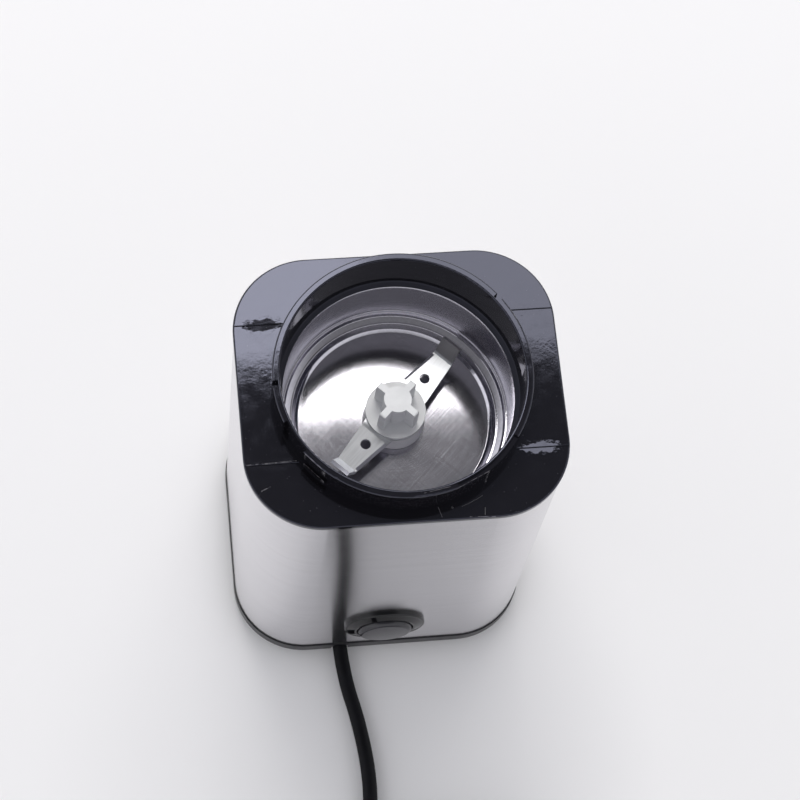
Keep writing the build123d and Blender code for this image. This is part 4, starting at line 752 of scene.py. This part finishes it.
class GRINDER_OT_cord(bpy.types.Operator):
    """Lay the cord, its put-away coil, its tie and its plug"""

    bl_idname = "grinder.cord"
    bl_label = "Cord"

    def execute(self, context):
        settings = context.scene.grinder_cord
        coil, end = self.coil(settings)
        route = STRETCH + coil + self.tail(*end)
        points = [Vector((x * MM, (y + SHAFT_BACK) * MM, z * MM)) for x, y, z in route]
        curve = bpy.data.curves.new("cord_line", "CURVE")
        curve.dimensions = "3D"
        curve.bevel_depth = settings.diameter / 2
        curve.bevel_resolution = 8
        curve.resolution_u = 10
        curve.use_fill_caps = True
        spline = curve.splines.new("NURBS")
        spline.points.add(len(points) - 1)
        for target, point in zip(spline.points, points):
            target.co = (*point, 1.0)
        spline.order_u = 3
        spline.use_endpoint_u = True
        cord = bpy.data.objects.new("cord_line", curve)
        context.scene.collection.objects.link(cord)
        curve.materials.append(jacket())
        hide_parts("cord", "cord_coil", "cord_tail")
        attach(cord, "housing")
        skin = jacket()
        for name in ("plug_body", "cord_tie"):
            wear(name, skin)
        wear("plug_pins", plain_metal("plug_brass", (0.75, 0.62, 0.40), 0.22))
        return {"FINISHED"}

    def coil(self, settings):
        """Half turns inwards, a climb and half turns outwards, with the place where they end."""
        points = []
        x, y, z = COIL_START
        pitch = settings.coil_pitch / MM
        outer = settings.coil_radius / MM
        half_points = settings.turn_points // 2
        # The curve runs inside its control points, so these stand further out.
        swell = 1.0 / math.cos(math.pi / settings.turn_points) ** 0.5
        inwards = [outer - pitch / 2 * index for index in range(INWARD_HALF_TURNS)]
        side = 1
        for index, radius in enumerate([*inwards, CLIMB_RADIUS, *inwards[:0:-1]]):
            middle = x + side * radius
            reach = side * radius * swell
            climb = pitch if index == INWARD_HALF_TURNS else 0.0
            for step in range(half_points):
                share = (step + 0.5) / half_points
                angle = math.pi * share
                height = z + climb * (share - math.sin(2 * angle) / (2 * math.pi))
                points.append((middle - reach * math.cos(angle), y - reach * math.sin(angle), height))
            z += climb
            x += 2 * side * radius
            side = -side
        return points, (x, y, z)

    def tail(self, x, y, z):
        """Route from the coil to the plug."""
        return [
            (x, y - 5.0, z), (x, y - 23.0, z),
            (x + 2.6, y - 40.0, PLUG_HEIGHT), (x + 7.0, y - 56.0, PLUG_HEIGHT),
        ]


def rounded(corners, steps=6):
    """Line through corners of radius, height and rounding, with arcs at the corners."""
    line = [corners[0][:2]]
    for before, corner, after in zip(corners, corners[1:], corners[2:]):
        rounding = corner[2]
        if rounding == 0.0:
            line.append(corner[:2])
            continue
        point = Vector(corner[:2])
        back, on = (Vector(other[:2]) - point for other in (before, after))
        back.normalize()
        on.normalize()
        half = back.angle(on) / 2
        middle = point + (back + on).normalized() * (rounding / math.sin(half))
        reach = rounding / math.tan(half)
        start, end = point + back * reach - middle, point + on * reach - middle
        for step in range(steps + 1):
            line.append(tuple(middle + start.lerp(end, step / steps).normalized() * rounding))
    line.append(corners[-1][:2])
    return line


def moved_aside(line, sheet):
    """The same line on the other face of a sheet."""
    last = len(line) - 1
    moved = []
    for index, (radius, height) in enumerate(line):
        before, after = line[max(index - 1, 0)], line[min(index + 1, last)]
        run, rise = after[0] - before[0], after[1] - before[1]
        length = math.hypot(run, rise)
        moved.append((radius - rise / length * sheet, height + run / length * sheet))
    return moved


def turned(name, loop, segments):
    """Closed outline of radii and heights, in millimetres, turned round the shaft."""
    work = bmesh.new()
    rings = []
    for index in range(segments):
        turn = 2 * math.pi * index / segments
        across, deep = math.cos(turn) * MM, math.sin(turn) * MM
        rings.append([
            work.verts.new((radius * across, radius * deep + SHAFT_BACK * MM, height * MM))
            for radius, height in loop
        ])
    for ring, following in zip(rings, rings[1:] + rings[:1]):
        for index in range(len(loop)):
            near = (index + 1) % len(loop)
            work.faces.new((ring[index], ring[near], following[near], following[index])).smooth = True
    bmesh.ops.recalc_face_normals(work, faces=work.faces)
    piece = piece_from(work, name)
    piece.data.set_sharp_from_angle(angle=math.radians(60.0))
    return piece


class GRINDER_OT_bowl(bpy.types.Operator):
    """Turn the pressed steel bowl with its rounded steps and domed floor"""

    bl_idname = "grinder.bowl"
    bl_label = "Bowl"

    def execute(self, context):
        settings = context.scene.grinder_bowl
        inside = rounded(self.corners(settings))
        outside = moved_aside(inside, settings.sheet / MM)
        piece = turned("pressed_bowl", inside + outside[::-1], settings.segments)
        piece.data.materials.append(spun_steel())
        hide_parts("bowl")
        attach(piece, "housing")
        return {"FINISHED"}

    def corners(self, settings):
        """Radius, height and rounding from the flange to the boss, in millimetres."""

        def floor(radius, rounding):
            return radius, settings.floor_top / MM - settings.dome * radius * radius, rounding

        return [
            (38.9, 132.4, 0.0), (37.4, 132.4, 0.0), (36.0, 132.4, 0.5), (35.8, 126.0, 0.0),
            (35.45, 116.4, 0.3), (36.0, 114.5, 0.35), (35.0, 114.46, 0.35), (34.7, 112.55, 0.4),
            (32.9, 111.9, 0.4), (32.35, 111.88, 0.35), (31.3, 109.9, 0.5), floor(30.3, 0.25),
            *(floor(radius, 0.0) for radius in (29.0, 26.0, 23.0, 20.0, 17.0, 14.0, 11.0, 8.6)),
            floor(7.2, 0.6), (7.2, 113.4, 0.45), (5.4, 113.4, 0.0),
        ]


class GRINDER_OT_marks(bpy.types.Operator):
    """Raise the lid's turning marks on the top: a dot, a line and a tick"""

    bl_idname = "grinder.marks"
    bl_label = "Turning marks"

    def execute(self, context):
        work = bmesh.new()
        turns = [math.radians(degrees) for degrees in ARC_DEGREES]
        arc = [(ARC_RADIUS * math.sin(turn), SHAFT_BACK - ARC_RADIUS * math.cos(turn)) for turn in turns]
        self.rib(work, arc, ARC_HALF_WIDTH)
        self.rib(work, TICK, TICK_HALF_WIDTH)
        self.dot(work)
        bmesh.ops.recalc_face_normals(work, faces=work.faces)
        piece = piece_from(work, "turn_marks")
        piece.data.materials.append(moulded("raised_marks", (0.05, 0.05, 0.055), 0.35, 0.003))
        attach(piece, "housing")
        return {"FINISHED"}

    def ring(self, work, points, height):
        return [work.verts.new((x * MM, y * MM, height * MM)) for x, y in points]

    def rib(self, work, path, half):
        """Low rib with sloping sides along points of the top."""
        stations = []
        top = half * RIB_TOP_SHARE
        for index, (x, y) in enumerate(path):
            before, after = path[max(index - 1, 0)], path[min(index + 1, len(path) - 1)]
            way = Vector((after[0] - before[0], after[1] - before[1])).normalized()
            side = Vector((-way.y, way.x))
            edge = [(x + side.x * off, y + side.y * off) for off in (half, top, -top, -half)]
            low = self.ring(work, (edge[0], edge[3]), MARK_FOOT)
            high = self.ring(work, (edge[1], edge[2]), MARK_TOP)
            stations.append([low[0], high[0], high[1], low[1]])
        for near, far in zip(stations, stations[1:]):
            for index in range(4):
                work.faces.new((near[index], near[index - 3], far[index - 3], far[index]))
        work.faces.new(stations[0])
        work.faces.new(stations[-1][::-1])

    def dot(self, work):
        """Low round dot with sloping sides."""
        low, high = (
            self.ring(work, self.circle(radius), height)
            for radius, height in ((DOT_RADIUS, MARK_FOOT), (DOT_RADIUS * DOT_TOP_SHARE, MARK_TOP))
        )
        for index in range(DOT_SIDES):
            work.faces.new((low[index - 1], low[index], high[index], high[index - 1]))
        work.faces.new(high)
        work.faces.new(low[::-1])

    def circle(self, radius):
        x, y = DOT_MIDDLE
        turns = [2 * math.pi * step / DOT_SIDES for step in range(DOT_SIDES)]
        return [(x + radius * math.cos(turn), y + radius * math.sin(turn)) for turn in turns]


class GRINDER_OT_spring(bpy.types.Operator):
    """Wind the button's return spring, which closes up as the button goes in"""

    bl_idname = "grinder.spring"
    bl_label = "Return spring"

    def execute(self, context):
        settings = context.scene.grinder_spring
        work = bmesh.new()
        rings = self.rings(work, settings)
        for ring, following in zip(rings, rings[1:]):
            for side in range(WIRE_SIDES):
                corners = (ring[side - 1], ring[side], following[side], following[side - 1])
                work.faces.new(corners).smooth = True
        work.faces.new(rings[0])
        work.faces.new(rings[-1][::-1])
        bmesh.ops.recalc_face_normals(work, faces=work.faces)
        piece = piece_from(work, "return_spring")
        piece.data.materials.append(plain_metal("spring_wire", (0.50, 0.50, 0.51), 0.3))
        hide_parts("button_spring")
        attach(piece, "housing")
        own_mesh(piece)
        return {"FINISHED"}

    def rings(self, work, settings):
        """Rings of the wire's corners, from the button back to the seat."""
        wire = settings.wire / 2
        rise = settings.free_length - settings.wire
        slope = rise / (2 * math.pi * settings.turns * settings.radius)
        steps = SPRING_STEPS * settings.turns
        angles = [2 * math.pi * side / WIRE_SIDES for side in range(WIRE_SIDES)]
        rings = []
        for step in range(steps + 1):
            turn = 2 * math.pi * settings.turns * step / steps
            out = Vector((math.cos(turn), 0.0, math.sin(turn)))
            fore = rise * (1.0 - step / steps) + wire
            point = Vector(settings.seat) + out * settings.radius - Vector((0.0, fore, 0.0))
            along = Vector((-math.sin(turn), slope, math.cos(turn))).normalized()
            up = along.cross(out)
            corners = [point + (out * math.cos(angle) + up * math.sin(angle)) * wire for angle in angles]
            rings.append([work.verts.new(corner) for corner in corners])
        return rings


def plain_operator(label, note, names, material):
    """Operator that gives carried-over pieces one finish, made when it runs."""

    def execute(self, context):
        made = material()
        for name in names:
            wear(name, made)
        return {"FINISHED"}

    words = label.lower().replace(" ", "_")
    return type("GRINDER_OT_" + words, (bpy.types.Operator,), {
        "__doc__": note, "bl_idname": "grinder." + words, "bl_label": label, "execute": execute,
    })


DRESSERS = [
    plain_operator("Cover", "Finish the glossy black top", ["top_cover"], glossy_black),
    plain_operator("Sleeve", "Finish the brushed sleeve", ["outer_sleeve"], brushed_sleeve),
    plain_operator("Blade", "Finish the blade", ["blade"], blade_steel),
    plain_operator(
        "Hub", "Finish the white knob, the carrier and the switch plunger",
        ["blade_knob", "blade_carrier", "switch_plunger"],
        lambda: moulded("white_hub", finish_settings().hub_color, 0.42, 0.006),
    ),
    plain_operator(
        "Base", "Finish the base", ["base_plate"],
        lambda: moulded("satin_black_base", finish_settings().base_color, 0.35),
    ),
    plain_operator(
        "Button", "Finish the push button", ["button"],
        lambda: moulded("glossy_black_button", (0.022, 0.0215, 0.027), 0.14, 0.002),
    ),
    plain_operator(
        "Bezel", "Finish the button's bezel", ["button_bezel"],
        lambda: moulded("glossy_black_bezel", (0.004, 0.004, 0.005), 0.07, 0.001, 1.45),
    ),
    plain_operator(
        "Rubber", "Finish feet, seals, mounts and strain relief",
        ["feet", "bowl_seal", "shaft_seal", "motor_mounts", "strain_relief", "cord_inner"],
        lambda: moulded("black_rubber", (0.014, 0.014, 0.015), 0.6, 0.01),
    ),
    plain_operator(
        "Inner mouldings", "Finish the plastic parts and the carbon brushes inside",
        [
            "motor_carrier", "bowl_support", "cooling_fan", "switch_bracket", "switch_body", "cord_clamp",
            "carbon_brushes",
        ],
        lambda: moulded("inner_plastic", (0.05, 0.05, 0.052), 0.5, 0.008),
    ),
    plain_operator(
        "Suppressor", "Finish the suppressor", ["suppressor"],
        lambda: moulded("yellow_case", (0.55, 0.36, 0.03), 0.4),
    ),
    plain_operator(
        "Fasteners", "Finish screws, bolts, nuts, shaft, bearings, clip and switch lever",
        [
            "tie_screws", "motor_bolts", "motor_nuts", "bracket_screws", "clamp_screws", "motor_shaft",
            "upper_bearing", "lower_bearing", "bezel_clip", "switch_lever",
        ],
        lambda: plain_metal("zinc_plated_steel", (0.56, 0.56, 0.57), 0.28),
    ),
    plain_operator(
        "Brackets", "Finish the cast brackets", ["upper_bracket", "lower_bracket"],
        lambda: plain_metal("cast_alloy", (0.58, 0.58, 0.59), 0.45),
    ),
    plain_operator(
        "Brass", "Finish the brush tubes and commutator", ["brush_tubes", "commutator"],
        lambda: plain_metal("worn_brass", (0.72, 0.50, 0.25), 0.3),
    ),
    plain_operator("Cores", "Finish the laminated cores", ["stator_core", "rotor_core"], laminated),
    plain_operator("Windings", "Finish the windings", ["field_coils", "rotor_winding"], wound_copper),
]


class GRINDER_PT_panel(bpy.types.Panel):
    """Lists the grinder's operators and settings"""

    bl_idname = "GRINDER_PT_panel"
    bl_label = "Coffee grinder"
    bl_space_type = "VIEW_3D"
    bl_region_type = "UI"
    bl_category = "Grinder"

    def draw(self, context):
        for operator in OPERATORS:
            self.layout.operator(operator.bl_idname)
        for group in GROUPS:
            settings = getattr(context.scene, group)
            box = self.layout.box()
            for name in settings.bl_rna.properties.keys():
                if name not in ("rna_type", "name"):
                    box.prop(settings, name)


GROUPS = {
    "grinder_camera": GrinderCamera,
    "grinder_studio": GrinderStudio,
    "grinder_finish": GrinderFinish,
    "grinder_cord": GrinderCord,
    "grinder_bowl": GrinderBowl,
    "grinder_spring": GrinderSpring,
}
OPERATORS = [
    GRINDER_OT_stage, GRINDER_OT_cord, GRINDER_OT_bowl, GRINDER_OT_spring, GRINDER_OT_marks, *DRESSERS,
]


def register():
    for group in GROUPS.values():
        bpy.utils.register_class(group)
    for name, group in GROUPS.items():
        setattr(bpy.types.Scene, name, PointerProperty(type=group))
    for operator in (*OPERATORS, GRINDER_PT_panel):
        bpy.utils.register_class(operator)


def unregister():
    for operator in (GRINDER_PT_panel, *reversed(OPERATORS)):
        bpy.utils.unregister_class(operator)
    for name in GROUPS:
        delattr(bpy.types.Scene, name)
    for group in reversed(GROUPS.values()):
        bpy.utils.unregister_class(group)


def main():
    """Dress the whole grinder and note the two boxes."""
    register()
    for operator in OPERATORS:
        family, name = operator.bl_idname.split(".")
        getattr(getattr(bpy.ops, family), name)()


if __name__ == "__main__":
    main()
